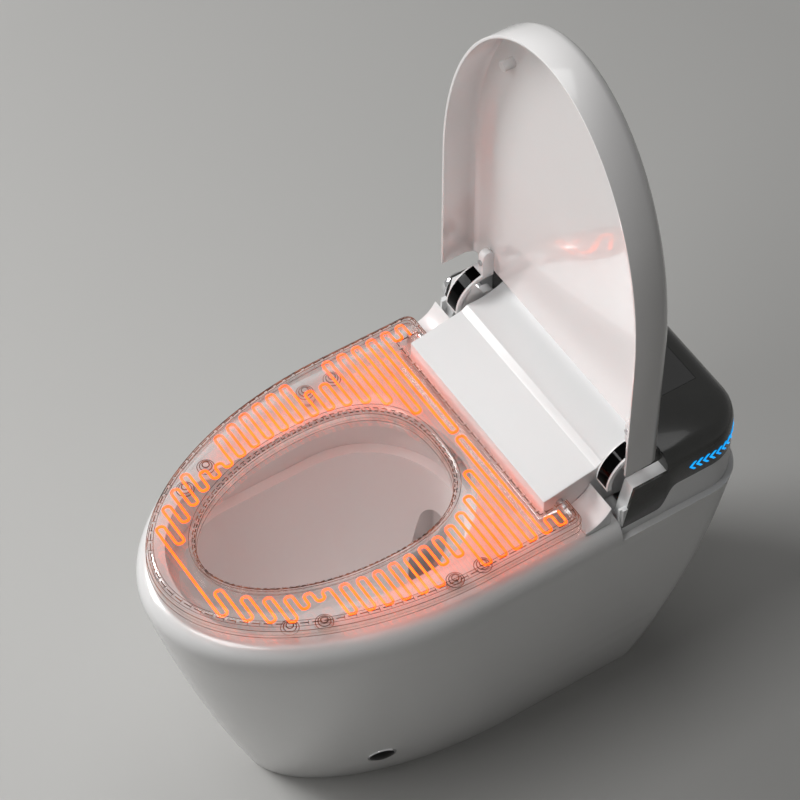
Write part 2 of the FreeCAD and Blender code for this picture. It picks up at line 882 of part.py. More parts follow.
def nozzle_cover_edges(inset, low_front, low_rear):
    """Side outline of the white cover: low front, ridge strip and hollow slope up to the rear cover."""
    front = box_front + inset
    ridge = y_rear - s["ridge_distance"]
    half_ridge = s["ridge_width"] / 2
    rear = cover_front - s["fit_gap"]
    step = unit_front + s["fit_gap"]
    ridge_z = rim + s["ridge_height"] - inset
    ridge_tilt_share = 0.8
    foot = Vector(0, front, low_front)
    brow = Vector(0, front, rim + s["box_front_height"] - inset)
    ridge_start = Vector(0, ridge - half_ridge, ridge_z - s["ridge_width"] * ridge_tilt_share)
    ridge_end = Vector(0, ridge + half_ridge, ridge_z)
    top = Vector(0, rear, rim + s["box_rear_height"] - inset)
    hollow_share = 0.1
    chord = top - ridge_end
    dip = (ridge_end + top) / 2 - Vector(0, 0, chord.Length * hollow_share)
    heel = Vector(0, rear, low_rear)
    step_low = Vector(0, step, low_rear)
    step_high = Vector(0, step, low_front)
    return [
        line(foot, brow),
        line(brow, ridge_start),
        line(ridge_start, ridge_end),
        Part.Arc(ridge_end, dip, top).toShape(),
        line(top, heel),
        line(heel, step_low),
        line(step_low, step_high),
        line(step_high, foot),
    ]


def nozzle_cover():
    half = s["box_half_width"]
    skin = s["unit_skin"]
    outer = prism_along_x(nozzle_cover_edges(0, deck_top, plate_top), -half, half)
    inner = prism_along_x(
        nozzle_cover_edges(skin, deck_top - overrun, plate_top - overrun), skin - half, half - skin
    )
    slit = block(
        skin - half, half - skin, unit_front - overrun, cover_front, plate_top - overrun, deck_top
    )
    pin = Part.makeCylinder(
        s["seat_pin_radius"], half * 2, Vector(-half, seat_axis_y, seat_axis_z), X_AXIS
    )
    return outer.cut(inner).cut(slit).cut(pin)


ramp_end = lid_axis_y - s["arm_radius"] - s["band_thickness"] - s["slot_gap"]


def deck_plate():
    """White deck on the rim, with a ramp up to the hinge slot on each side."""
    half = s["deck_half_width"]
    start = ramp_end - s["ramp_length"]
    plate = block(-half, half, y_rear - s["deck_front_margin"], ramp_end, rim, deck_top)
    foot = Vector(0, start, deck_top)
    crest = Vector(0, ramp_end, rim + s["ramp_height"])
    dip_share = 0.16
    dip = (foot + crest) / 2 - Vector(0, 0, (crest - foot).Length * dip_share)
    ramp = prism_along_x(
        [
            line(Vector(0, start, rim), foot),
            Part.Arc(foot, dip, crest).toShape(),
            line(crest, Vector(0, ramp_end, rim)),
            line(Vector(0, ramp_end, rim), Vector(0, start, rim)),
        ],
        s["box_half_width"] + s["fit_gap"],
        half,
    )
    channel = block(
        -s["window_half_width"], s["window_half_width"], box_front + s["channel_margin"], ramp_end + overrun,
        rim - overrun, deck_top + overrun,
    )
    beside = block(
        s["box_half_width"], half + overrun, y_rear - s["deck_front_margin"] - overrun, start,
        rim - overrun, deck_top + overrun,
    )
    return plate.fuse(both_sides(ramp)).cut(channel).cut(both_sides(beside))


def chevron_lights():
    """Row of chevrons along the right side band and round its rear corner, pointing forward."""
    high = s["chevron_height"] / 2
    long = s["chevron_length"]
    stroke = s["chevron_stroke"]
    z = (panel_rear_low + cover_top - s["cover_round"]) / 2
    corner = s["rear_corner"]
    corner_start = unit_rear - corner
    lights = []
    for index in range(CHEVRON_COUNT):
        y = y_rear - s["chevron_start"] + index * s["chevron_pitch"]
        angle = max(0, y - corner_start) / corner
        normal = Vector(math.cos(angle), math.sin(angle), 0)
        tangent = Vector(-math.sin(angle), math.cos(angle), 0)
        centre = Vector(s["unit_half_width"] - corner, corner_start, z) + normal * corner
        if angle == 0:
            centre = Vector(s["unit_half_width"], y, z)
        outline = [
            (-long / 2, 0), (long / 2, high), (long / 2 + stroke, high),
            (stroke - long / 2, 0), (long / 2 + stroke, -high), (long / 2, -high),
        ]
        corners = [centre + tangent * u + Vector(0, 0, v) for u, v in outline]
        face = Part.Face(Part.makePolygon(corners + corners[:1]))
        lights.append(face.extrude(normal * s["chevron_thickness"]))
    return Part.Compound(lights)


# Seat: two clear shells with a heating track between them


def seat_outline(inset, z):
    half = s["seat_half_width"] - inset
    front = seat_front + inset
    length = s["seat_front_length"] - inset
    rear = seat_rear - inset
    ear_end = seat_rear + s["ear_length"] - inset
    ear_side = ear_inner + inset
    corner_share = 0.33
    corner = (half - ear_side) * corner_share
    edges = [nose_arc(half, front, length, z)]
    right = [
        Vector(half, front + length, z),
        Vector(half, ear_end - corner, z),
        Vector(half - corner, ear_end, z),
        Vector(ear_side, ear_end, z),
        Vector(ear_side, rear, z),
    ]
    left = [Vector(-point.x, point.y, point.z) for point in reversed(right)]
    edges.append(line(right[0], right[1]))
    edges.append(round_corner(right[1], Vector(half, ear_end, z), right[2]))
    edges.append(line(right[2], right[3]))
    edges.append(line(right[3], right[4]))
    edges.append(line(right[4], left[0]))
    edges.append(line(left[0], left[1]))
    edges.append(line(left[1], left[2]))
    edges.append(round_corner(left[2], Vector(-half, ear_end, z), left[3]))
    edges.append(line(left[3], left[4]))
    return Part.Wire(edges)


opening_front = seat_front + s["seat_opening_front"]
opening_rear = seat_rear - s["seat_opening_rear"]
opening_widest = opening_rear - s["seat_opening_rear_length"]


def seat_ring(inset, z_low, z_high, radius=0, steps=1):
    """Ring between the seat's outline and its opening, with rounded upper edges."""

    def outer_at(drawn_in, z):
        return seat_outline(inset + drawn_in, z)

    def hole_at(drawn_in, z):
        grow = inset + drawn_in
        half = s["seat_opening_half_width"] + grow
        return egg(half, opening_front - grow, opening_widest, opening_rear + grow, z)

    if not radius:
        flat_ring = Part.Face([outer_at(0, z_low), hole_at(0, z_low)], "Part::FaceMakerBullseye")
        return flat_ring.extrude(Vector(0, 0, z_high - z_low))
    ring = rounded_stack(outer_at, z_low, z_high, radius, steps)
    hole = rounded_stack(hole_at, z_low - overrun, z_high, radius, steps)
    above = Part.Face(hole_at(radius, z_high)).extrude(Vector(0, 0, overrun))
    return ring.cut(hole).cut(above)


def seat_upper():
    wall = s["seat_wall"]
    outer = seat_ring(0, seat_split, seat_top, s["seat_round"], SEAT_STRIPS)
    inner = seat_ring(wall, seat_split - overrun, seat_top - wall, s["seat_round"] - wall, SEAT_STRIPS)
    shell = outer.cut(inner)
    ear_end = seat_rear + s["ear_length"]
    blocks = block(
        ear_inner, ear_inner + s["ear_block"], seat_axis_y - s["ear_block"], ear_end, seat_split, seat_top
    )
    shell = shell.fuse(both_sides(blocks).common(outer))
    bore = Part.makeCylinder(
        s["seat_pin_radius"] + s["running_gap"], (ear_inner + s["seat_pin_length"]) * 2,
        Vector(-ear_inner - s["seat_pin_length"], seat_axis_y, seat_axis_z), X_AXIS,
    )
    return shell.cut(bore)


def seat_lower():
    return seat_ring(0, seat_low, seat_split)


def bumper_places():
    """Two pairs of bumpers on the flat of the rim, near the seat's outer edge."""
    places = []
    for y in (y_rear - s["bumper_rear_margin"], y_front + s["bumper_front_margin"]):
        x = seat_side(y, 0) - s["bumper_edge_inset"]
        places += [(x, y), (-x, y)]
    return places


def seat_side(y, inset):
    """Half width of the seat's outline, drawn in by the inset, at the place y."""
    half = s["seat_half_width"] - inset
    length = s["seat_front_length"] - inset
    share = max(0, seat_front + s["seat_front_length"] - y) / length
    return half * math.sqrt(max(0, 1 - share ** 2))


def heater_span(y):
    """Inner and outer end of a heater leg: from the opening to the outer edge, kept off the bumpers."""
    inset = s["heater_inset"]
    reach = opening_rear - opening_widest if y > opening_widest else opening_widest - opening_front
    power = REAR_POWER if y > opening_widest else NOSE_POWER
    share = min(1, abs(y - opening_widest) / (reach + inset))
    inner = (s["seat_opening_half_width"] + inset) * (1 - share ** power) ** (1 / power)
    outer = seat_side(y, inset)
    reach = s["bumper_radius"] + s["heater_width"]
    for bumper_x, bumper_y in bumper_places():
        if bumper_x > 0 and abs(y - bumper_y) < reach:
            outer = min(outer, bumper_x - reach)
    return max(inner, s["heater_middle_gap"]), outer


def heater_path():
    """Meander of square hairpins, down the right half, over the front and up the left half."""
    pitch = s["heater_pitch"]
    last = seat_front + s["heater_front_inset"]
    legs = 2 * int((seat_rear - s["heater_inset"] - last) / pitch / 2)
    rows = [last + (legs - leg) * pitch for leg in range(legs)]
    spans = [heater_span(y) for y in rows]
    right = [Vector(spans[0][1], rows[0], 0)]
    for leg in range(legs - 1):
        (inner, outer), (next_inner, next_outer) = spans[leg], spans[leg + 1]
        x = min(outer, next_outer) if leg % 2 else max(inner, next_inner)
        right += [Vector(x, rows[leg], 0), Vector(x, rows[leg + 1], 0)]
    end = heater_span(last)[1]
    right += [Vector(end, rows[-1], 0), Vector(end, last, 0)]
    return right + [Vector(-point.x, point.y, 0) for point in reversed(right)]


def ribbon(points, width, z, thickness):
    """Flat track of even width along a line of points, with mitred corners."""
    left, right = [], []
    for index, point in enumerate(points):
        before = points[max(index - 1, 0)]
        after = points[min(index + 1, len(points) - 1)]
        arriving = (point - before).normalize() if index else (after - point).normalize()
        leaving = (after - point).normalize() if after != point else arriving
        along_track = (arriving + leaving).normalize()
        across = Vector(-along_track.y, along_track.x, 0)
        square = Vector(-arriving.y, arriving.x, 0)
        reach = width / 2 / across.dot(square)
        lift = Vector(0, 0, z)
        left.append(point + across * reach + lift)
        right.append(point - across * reach + lift)
    outline = left + right[::-1]
    return Part.Face(Part.makePolygon(outline + outline[:1])).extrude(Vector(0, 0, thickness))


def seat_heater():
    low = seat_top - s["seat_wall"] - s["heater_thickness"]
    return ribbon(heater_path(), s["heater_width"], low, s["heater_thickness"])


# Lid with goose-neck arms


def lid_outline(inset, rear, z):
    half = s["lid_half_width"] - inset
    front = lid_front + inset
    length = s["lid_front_length"] - inset
    side = front + length
    corners = [Vector(half, side, z), Vector(half, rear, z), Vector(-half, rear, z), Vector(-half, side, z)]
    edges = [nose_arc(half, front, length, z)]
    edges += [line(start, end) for start, end in zip(corners, corners[1:])]
    return Part.Wire(edges)


def lid_shell():
    """Deep tray, drawn as it lies when closed; open at the hinge end."""
    wall = s["lid_wall"]

    def tray(inset, rear, z_low, steps):
        def wire_at(drawn_in, z):
            return lid_outline(inset + drawn_in, rear, z)

        return rounded_stack(wire_at, z_low, lid_top - inset, s["lid_round"] - inset, steps)

    return tray(0, lid_end, lid_rim, 3).cut(tray(wall, lid_end + overrun, lid_rim - overrun, 2))


def lid_bumpers():
    """Posts inside the lid that come down on the seat."""
    y = y_front + s["lid_bumper_margin"]
    posts = []
    for x in (-s["lid_bumper_spread"], s["lid_bumper_spread"]):
        foot = Vector(x, y, seat_top + s["fit_gap"])
        posts.append(Part.makeCylinder(s["lid_bumper_radius"], lid_ceiling - foot.z, foot))
    return Part.Compound(posts)


OPENED = FreeCAD.Placement(
    Vector(), FreeCAD.Rotation(X_AXIS, -RIGHT_ANGLE), Vector(0, lid_axis_y, lid_axis_z)
)


def polar(radius, degrees):
    angle = math.radians(degrees)
    return Vector(0, lid_axis_y + radius * math.cos(angle), lid_axis_z + radius * math.sin(angle))


def arc_band(inner, outer, first, last, x_low, x_high):
    """Curved bar about the lid's axis, between two radii and two angles from the rear."""
    middle = (first + last) / 2
    edges = [
        Part.Arc(polar(outer, first), polar(outer, middle), polar(outer, last)).toShape(),
        line(polar(outer, last), polar(inner, last)),
        Part.Arc(polar(inner, last), polar(inner, middle), polar(inner, first)).toShape(),
        line(polar(inner, first), polar(outer, first)),
    ]
    return prism_along_x(edges, x_low, x_high)


lid_inner_y = lid_axis_y + lid_ceiling - lid_axis_z
lug_low = lid_axis_z + s["arm_radius"] - s["arm_thickness"]
lug_front = lid_inner_y - s["arm_lug_depth"]
lug_outer = arm_inner + s["arm_lug_width"]


def hinge_arm():
    """Right arm: curved bar, web and hub on the pin, and the lug that carries the lid."""
    radius = s["arm_radius"]
    bar = arc_band(radius - s["arm_thickness"], radius, ARM_TOP_ANGLE, ARM_FOOT_ANGLE, arm_inner, arm_outer)
    bar_middle = radius - s["arm_thickness"] / 2
    web_corners = [polar(s["hinge_pin_radius"], WEB_TOP_ANGLE), polar(bar_middle, WEB_TOP_ANGLE)]
    web_corners += [polar(bar_middle, ARM_FOOT_ANGLE), polar(s["hinge_pin_radius"], ARM_FOOT_ANGLE)]
    web = prism_along_x([(point.y, point.z) for point in web_corners], arm_inner, arm_inner + s["arm_web"])
    hub = Part.makeCylinder(
        s["arm_hub_radius"], s["arm_width"] / 2, Vector(arm_inner, lid_axis_y, lid_axis_z), X_AXIS
    )
    half_depth = s["arm_lug_depth"] / 2
    lug = block(
        arm_inner, lug_outer, lug_front, lid_inner_y, lug_low, lug_low + s["arm_lug_height"]
    )
    crown = Part.makeCylinder(
        half_depth, s["arm_lug_width"],
        Vector(arm_inner, lug_front + half_depth, lug_low + s["arm_lug_height"]), X_AXIS,
    )
    bore = Part.makeCylinder(
        s["hinge_pin_radius"] + s["running_gap"], s["arm_width"],
        Vector(arm_inner - overrun, lid_axis_y, lid_axis_z), X_AXIS,
    )
    return bar.fuse(web).fuse(hub).fuse(lug).fuse(crown).cut(bore)


def hinge_band():
    """Bright strip on the outside of the right arm's bar."""
    radius = s["arm_radius"]
    return arc_band(
        radius, radius + s["band_thickness"], BAND_TOP_ANGLE, BAND_FOOT_ANGLE,
        arm_inner + s["band_inset"], arm_outer - s["band_inset"],
    )


def lid_screws():
    """Pan head on the front of each lug."""
    height_share = 0.75
    height = lug_low + s["arm_lug_height"] * height_share
    start = Vector((arm_inner + lug_outer) / 2, lug_front - s["lug_screw_head"], height)
    head = Part.makeCylinder(s["lug_screw_radius"], s["lug_screw_head"], start, Y_AXIS)
    return Part.Compound([head, mirrored(head)])


# Nozzles and water parts

nozzle_tilt = math.radians(s["nozzle_angle"])
nozzle_back = Vector(0, math.cos(nozzle_tilt), math.sin(nozzle_tilt))
nozzle_tip = Vector(0, y_rear - s["nozzle_tip_margin"], rim - s["nozzle_tip_drop"])


def nozzle_rod(x, radius, start, end):
    """Cylinder on a nozzle's line, between two distances behind the tip."""
    base = nozzle_tip + nozzle_back * start + Vector(x, 0, 0)
    return Part.makeCylinder(radius, end - start, base, nozzle_back)


def nozzle_tube(x):
    tube = nozzle_rod(x, s["nozzle_radius"], s["nozzle_cap_length"], s["nozzle_length"])
    return tube.cut(nozzle_rod(x, s["nozzle_bore"], s["nozzle_cap_length"], s["nozzle_length"]))


def nozzle_cap(x):
    """Spray head with a flat on top and its jet hole."""
    radius = s["nozzle_radius"]
    cap = nozzle_rod(x, radius, 0, s["nozzle_cap_length"])
    half = s["nozzle_cap_length"] / 2
    middle = nozzle_tip + nozzle_back * half + Vector(x, 0, 0)
    up = nozzle_back.cross(X_AXIS) * -1
    flat_share = 0.75
    flat = Part.makeBox(radius * 2, half, radius)
    flat.Placement = FreeCAD.Placement(
        middle + up * radius * flat_share - X_AXIS * radius - nozzle_back * half / 2,
        FreeCAD.Rotation(X_AXIS, s["nozzle_angle"]),
    )
    cap = cap.cut(flat)
    return cap.cut(Part.makeCylinder(s["nozzle_bore"] / 2, radius, middle, up))


nozzle_x = s["nozzle_spacing"] / 2
guide_half = nozzle_x + s["nozzle_radius"] + s["guide_wall"]
guide_start = tub_front + s["unit_skin"] + s["fit_gap"]
guide_end = guide_start + s["guide_length"]


def nozzle_line_z(y):
    return nozzle_tip.z + (y - nozzle_tip.y) * math.tan(nozzle_tilt)


def nozzle_guide():
    """Block on the tray's floor with a sloping top and a bore for each nozzle."""
    rise = (s["nozzle_radius"] + s["guide_wall"]) / math.cos(nozzle_tilt)
    corners = [
        (guide_start, tub_floor),
        (guide_start, nozzle_line_z(guide_start) + rise),
        (guide_end, nozzle_line_z(guide_end) + rise),
        (guide_end, tub_floor),
    ]
    guide = prism_along_x(corners, -guide_half, guide_half)
    for x in (-nozzle_x, nozzle_x):
        guide = guide.cut(nozzle_rod(x, s["nozzle_radius"] + s["slide_gap"], 0, s["nozzle_length"]))
    return guide


def nozzle_motors():
    """Stepper motors on the sides of the nozzle guide."""
    y = (guide_start + guide_end) / 2
    z = nozzle_line_z(y) - s["guide_wall"]
    half = s["motor_side"] / 2
    motor = block(guide_half, guide_half + s["motor_length"], y - half, y + half, z - half, z + half)
    return Part.Compound([motor, mirrored(motor)])


def hex_prism(radius, height, centre):
    """Six-sided nut along Y, with its corners on the radius."""
    corners = []
    for side in range(NUT_SIDES):
        angle = HALF_TURN * 2 * side / NUT_SIDES
        corners.append(centre + Vector(radius * math.cos(angle), 0, radius * math.sin(angle)))
    return Part.Face(Part.makePolygon(corners + corners[:1])).extrude(Vector(0, height, 0))


def water_inlet():
    """Threaded stub's envelope on a hexagon shoulder, in its round seat at the rear of the skirt."""
    start = Vector(-s["inlet_offset"], port_seat, s["inlet_height"])
    shoulder = hex_prism(s["inlet_flange_radius"], s["inlet_flange"], start)
    stub = Part.makeCylinder(s["inlet_radius"], s["inlet_length"], start, Y_AXIS)
    return stub.fuse(shoulder).cut(Part.makeCylinder(s["inlet_bore"], s["inlet_length"], start, Y_AXIS))


def cable_gland():
    """Hexagon bush for the mains lead, in its round seat at the rear of the skirt."""
    start = Vector(s["inlet_offset"], port_seat, s["inlet_height"])
    bush = hex_prism(s["gland_flange_radius"], s["gland_length"], start)
    return bush.cut(Part.makeCylinder(s["gland_bore"], s["gland_length"], start, Y_AXIS))


# Document objects bound to the sheet

REAR = "sizes.body_length / 2"
HINGE_Y = f"{REAR} - sizes.lid_axis_margin"
HINGE_Z = "sizes.rim_height + sizes.lid_axis_height"
SEAT_AXIS_Y = f"{REAR} - sizes.seat_axis_margin"
SEAT_AXIS_Z = "sizes.rim_height + sizes.seat_axis_height"
KNOB_Y = f"{REAR} - sizes.knob_rear_margin"
KNOB_Z = "sizes.rim_height + sizes.knob_height"
WING_OUTER = "(sizes.unit_half_width - sizes.unit_skin)"
ARM_INNER = "(sizes.box_half_width + sizes.arm_side_gap)"
DECK_HEIGHT = "(sizes.rim_height - sizes.shoulder_drop)"
TUB_FLOOR = f"({DECK_HEIGHT} - sizes.well_depth + sizes.plate_height + sizes.unit_skin)"
TUB_HALF = "(sizes.well_half_width - sizes.plate_height)"
TUB_REAR = f"({REAR} - sizes.well_margin - sizes.plate_height)"


def cylinder(name, radius, height, x, y, z, axis=None):
    """Part cylinder along Z, or along X where an axis to turn about is given."""
    piece = doc.addObject("Part::Cylinder", name)
    if axis:
        along(piece, axis, RIGHT_ANGLE)
    bind(piece, Radius=radius, Height=height)
    place(piece, x, y, z)
    return piece


def box(name, length, width, height, x, y, z):
    piece = doc.addObject("Part::Box", name)
    bind(piece, Length=length, Width=width, Height=height)
    place(piece, x, y, z)
    return piece


def group(label, members):
    piece = doc.addObject("Part::Compound", label)
    piece.Label = label
    piece.Links = members
    return piece


def cut(label, base, tool):
    piece = doc.addObject("Part::Cut", label)
    piece.Label = label
    piece.Base = base
    piece.Tool = tool
    return piece


def fuse(label, base, tool):
    piece = doc.addObject("Part::Fuse", label)
    piece.Label = label
    piece.Base = base
    piece.Tool = tool
    return piece


def hinge_pins():
    length = f"{WING_OUTER} - {ARM_INNER}"
    right = cylinder("hinge_pin_right", "sizes.hinge_pin_radius", length, ARM_INNER, HINGE_Y, HINGE_Z, Y_AXIS)
    left_x = f"-{WING_OUTER}"
    left = cylinder("hinge_pin_left", "sizes.hinge_pin_radius", length, left_x, HINGE_Y, HINGE_Z, Y_AXIS)
    return group("hinge_pins", [right, left])


def seat_pins():
    held = "sizes.seat_pin_held"
    right_x = f"sizes.box_half_width - {held}"
    left_x = f"{held} - sizes.box_half_width - sizes.seat_pin_length"
    pins = [
        cylinder(name, "sizes.seat_pin_radius", "sizes.seat_pin_length", x, SEAT_AXIS_Y, SEAT_AXIS_Z, Y_AXIS)
        for name, x in (("seat_pin_right", right_x), ("seat_pin_left", left_x))
    ]
    return group("seat_pins", pins)


def seat_bumpers():
    pads = []
    for index, (x, y) in enumerate(bumper_places()):
        pad = doc.addObject("Part::Cylinder", f"seat_bumper_{index}")
        bind(pad, Radius="sizes.bumper_radius", Height="sizes.seat_lift")
        pad.Placement = FreeCAD.Placement(Vector(x, y, rim), FreeCAD.Rotation())
        pads.append(pad)
    return group("seat_bumpers", pads)


def knob_ring():
    disc_x = "-(sizes.unit_half_width + sizes.fit_gap + sizes.knob_depth)"
    disc = cylinder("knob_disc", "sizes.knob_radius", "sizes.knob_depth", disc_x, KNOB_Y, KNOB_Z, Y_AXIS)
    sleeve = cylinder(
        "knob_sleeve", "sizes.knob_sleeve_radius",
        "sizes.fit_gap + sizes.unit_skin + sizes.knob_sleeve_length",
        "-(sizes.unit_half_width + sizes.fit_gap)", KNOB_Y, KNOB_Z, Y_AXIS,
    )
    bore = cylinder(
        "knob_bore", "sizes.button_radius + sizes.running_gap",
        "sizes.knob_depth + sizes.fit_gap + sizes.unit_skin + sizes.knob_sleeve_length",
        disc_x, KNOB_Y, KNOB_Z, Y_AXIS,
    )
    return cut("knob_ring", fuse("knob_turned", disc, sleeve), bore)


def knob_button():
    length = (
        "sizes.button_proud + sizes.knob_depth + sizes.fit_gap + sizes.unit_skin"
        " + sizes.knob_sleeve_length - sizes.button_travel"
    )
    start = "-(sizes.unit_half_width + sizes.fit_gap + sizes.knob_depth + sizes.button_proud)"
    return cylinder("knob_button", "sizes.button_radius", length, start, KNOB_Y, KNOB_Z, Y_AXIS)


def display_window():
    return box(
        "display_window", "sizes.display_length", "sizes.display_width", "sizes.display_thickness",
        "-sizes.display_length / 2", f"{REAR} - sizes.display_rear_margin - sizes.display_width / 2",
        "sizes.rim_height + sizes.cover_top - sizes.display_thickness",
    )


BOARD_Y = f"({TUB_REAR} - sizes.well_margin - sizes.board_width)"


def control_board():
    return box(
        "control_board", "sizes.board_length", "sizes.board_width", "sizes.board_thickness",
        "sizes.nozzle_spacing", BOARD_Y, f"{DECK_HEIGHT} + sizes.board_lift",
    )


def water_heater():
    tank = box(
        "heater_tank", "sizes.heater_tank_length", "sizes.heater_tank_width", "sizes.heater_tank_height",
        f"sizes.tank_margin - {TUB_HALF}", f"{TUB_REAR} - sizes.tank_margin - sizes.heater_tank_width",
        TUB_FLOOR,
    )
    neck = cylinder(
        "heater_neck", "sizes.tank_neck_radius", "sizes.heater_tank_height + sizes.tank_neck_height",
        f"sizes.tank_neck_margin - {TUB_HALF}", f"{TUB_REAR} - sizes.heater_tank_width / 2", TUB_FLOOR,
    )
    return fuse("water_heater", tank, neck)


def inlet_valve():
    x = "sizes.nozzle_spacing + sizes.board_post + sizes.valve_margin"
    y = f"{BOARD_Y} + sizes.board_post + sizes.valve_margin"
    body = box(
        "valve_body", "sizes.valve_length", "sizes.valve_width", "sizes.valve_block_height", x, y, TUB_FLOOR
    )
    coil = box(
        "valve_coil", "sizes.valve_coil", "sizes.valve_coil", "sizes.valve_height",
        f"{x} + (sizes.valve_length - sizes.valve_coil) / 2",
        f"{y} + (sizes.valve_width - sizes.valve_coil) / 2", TUB_FLOOR,
    )
    return fuse("inlet_valve", body, coil)


def sensor_ring():
    flange = sensor_disc(s["sensor_ring_radius"], -s["sensor_flange"], s["sensor_flange"] / 2)
    return flange.cut(sensor_disc(s["sensor_lens_radius"], -s["sensor_flange"], s["sensor_flange"]))


def sensor_lens():
    return sensor_disc(s["sensor_lens_radius"], -s["sensor_depth"], s["sensor_flange"] / 4)


arm = hinge_arm()
band = hinge_band()
lights = chevron_lights()
pieces = [
    feature("ceramic_body", ceramic_body()),
    feature("unit_base", unit_base()),
    feature("deck_plate", deck_plate()),
    feature("nozzle_cover", nozzle_cover()),
    feature("rear_cover", rear_cover()),
    feature("chevron_lights_right", lights),
    feature("chevron_lights_left", mirrored(lights)),
    display_window(),
    feature("seat_upper", seat_upper()),
    feature("seat_lower", seat_lower()),
    feature("seat_heater", seat_heater()),
    seat_bumpers(),
    seat_pins(),
    feature("lid_shell", lid_shell(), OPENED),
    feature("lid_bumpers", lid_bumpers(), OPENED),
    feature("hinge_arm_right", arm),
    feature("hinge_arm_left", mirrored(arm)),
    feature("hinge_band_right", band),
    feature("hinge_band_left", mirrored(band)),
    feature("lid_screws", lid_screws()),
    hinge_pins(),
    knob_ring(),
    knob_button(),
    feature("sensor_ring", sensor_ring()),
    feature("sensor_lens", sensor_lens()),
    feature("nozzle_rear", nozzle_tube(-nozzle_x)),
    feature("nozzle_front", nozzle_tube(nozzle_x)),
    feature("nozzle_cap_rear", nozzle_cap(-nozzle_x)),
    feature("nozzle_cap_front", nozzle_cap(nozzle_x)),
    feature("nozzle_guide", nozzle_guide()),
    feature("nozzle_motors", nozzle_motors()),
    water_heater(),
    inlet_valve(),
    control_board(),
    feature("water_inlet", water_inlet()),
    feature("cable_gland", cable_gland()),
]

doc.recompute()
for item in doc.Objects:
    if "Invalid" in item.State or "Error" in item.State:
        raise RuntimeError(f"{item.Label} failed: {item.State}")
for piece in pieces:
    if piece.Shape.isNull() or not piece.Shape.isValid():
        raise RuntimeError(f"{piece.Label} has no valid shape")

os.makedirs("parts", exist_ok=True)
for piece in pieces:
    piece.Shape.exportStep(f"parts/{piece.Label}.step")
    print(piece.Label, len(piece.Shape.Solids), round(piece.Shape.Volume))
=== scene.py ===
import json
import math

import bpy
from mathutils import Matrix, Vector

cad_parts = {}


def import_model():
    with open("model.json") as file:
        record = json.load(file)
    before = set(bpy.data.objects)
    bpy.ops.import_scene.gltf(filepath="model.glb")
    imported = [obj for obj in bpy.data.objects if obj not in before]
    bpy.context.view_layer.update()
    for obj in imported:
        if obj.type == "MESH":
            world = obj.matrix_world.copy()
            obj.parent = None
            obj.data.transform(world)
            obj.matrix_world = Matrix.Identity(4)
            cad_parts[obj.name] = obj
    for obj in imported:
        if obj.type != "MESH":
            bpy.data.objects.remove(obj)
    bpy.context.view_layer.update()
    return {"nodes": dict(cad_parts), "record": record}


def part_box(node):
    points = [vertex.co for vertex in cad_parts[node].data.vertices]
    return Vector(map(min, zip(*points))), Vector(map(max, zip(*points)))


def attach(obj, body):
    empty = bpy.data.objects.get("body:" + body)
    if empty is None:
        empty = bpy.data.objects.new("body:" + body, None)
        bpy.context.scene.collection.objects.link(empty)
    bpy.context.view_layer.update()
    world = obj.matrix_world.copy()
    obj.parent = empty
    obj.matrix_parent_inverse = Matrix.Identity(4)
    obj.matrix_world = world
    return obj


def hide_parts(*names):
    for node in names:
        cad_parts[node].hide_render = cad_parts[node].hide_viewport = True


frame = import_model()
NODES = frame["nodes"]
MM = 0.001

# Camera, fitted to the outlines of the rim, the seat, the foot and the lid
CAMERA_AZIMUTH = 57.15
CAMERA_ELEVATION = 51.75
CAMERA_TARGET = Vector((-0.0547, 0.0217, 0.4459))
CAMERA_DISTANCE = 3.814
CAMERA_LENS = 154.8
SENSOR_WIDTH = 36.0


# Materials


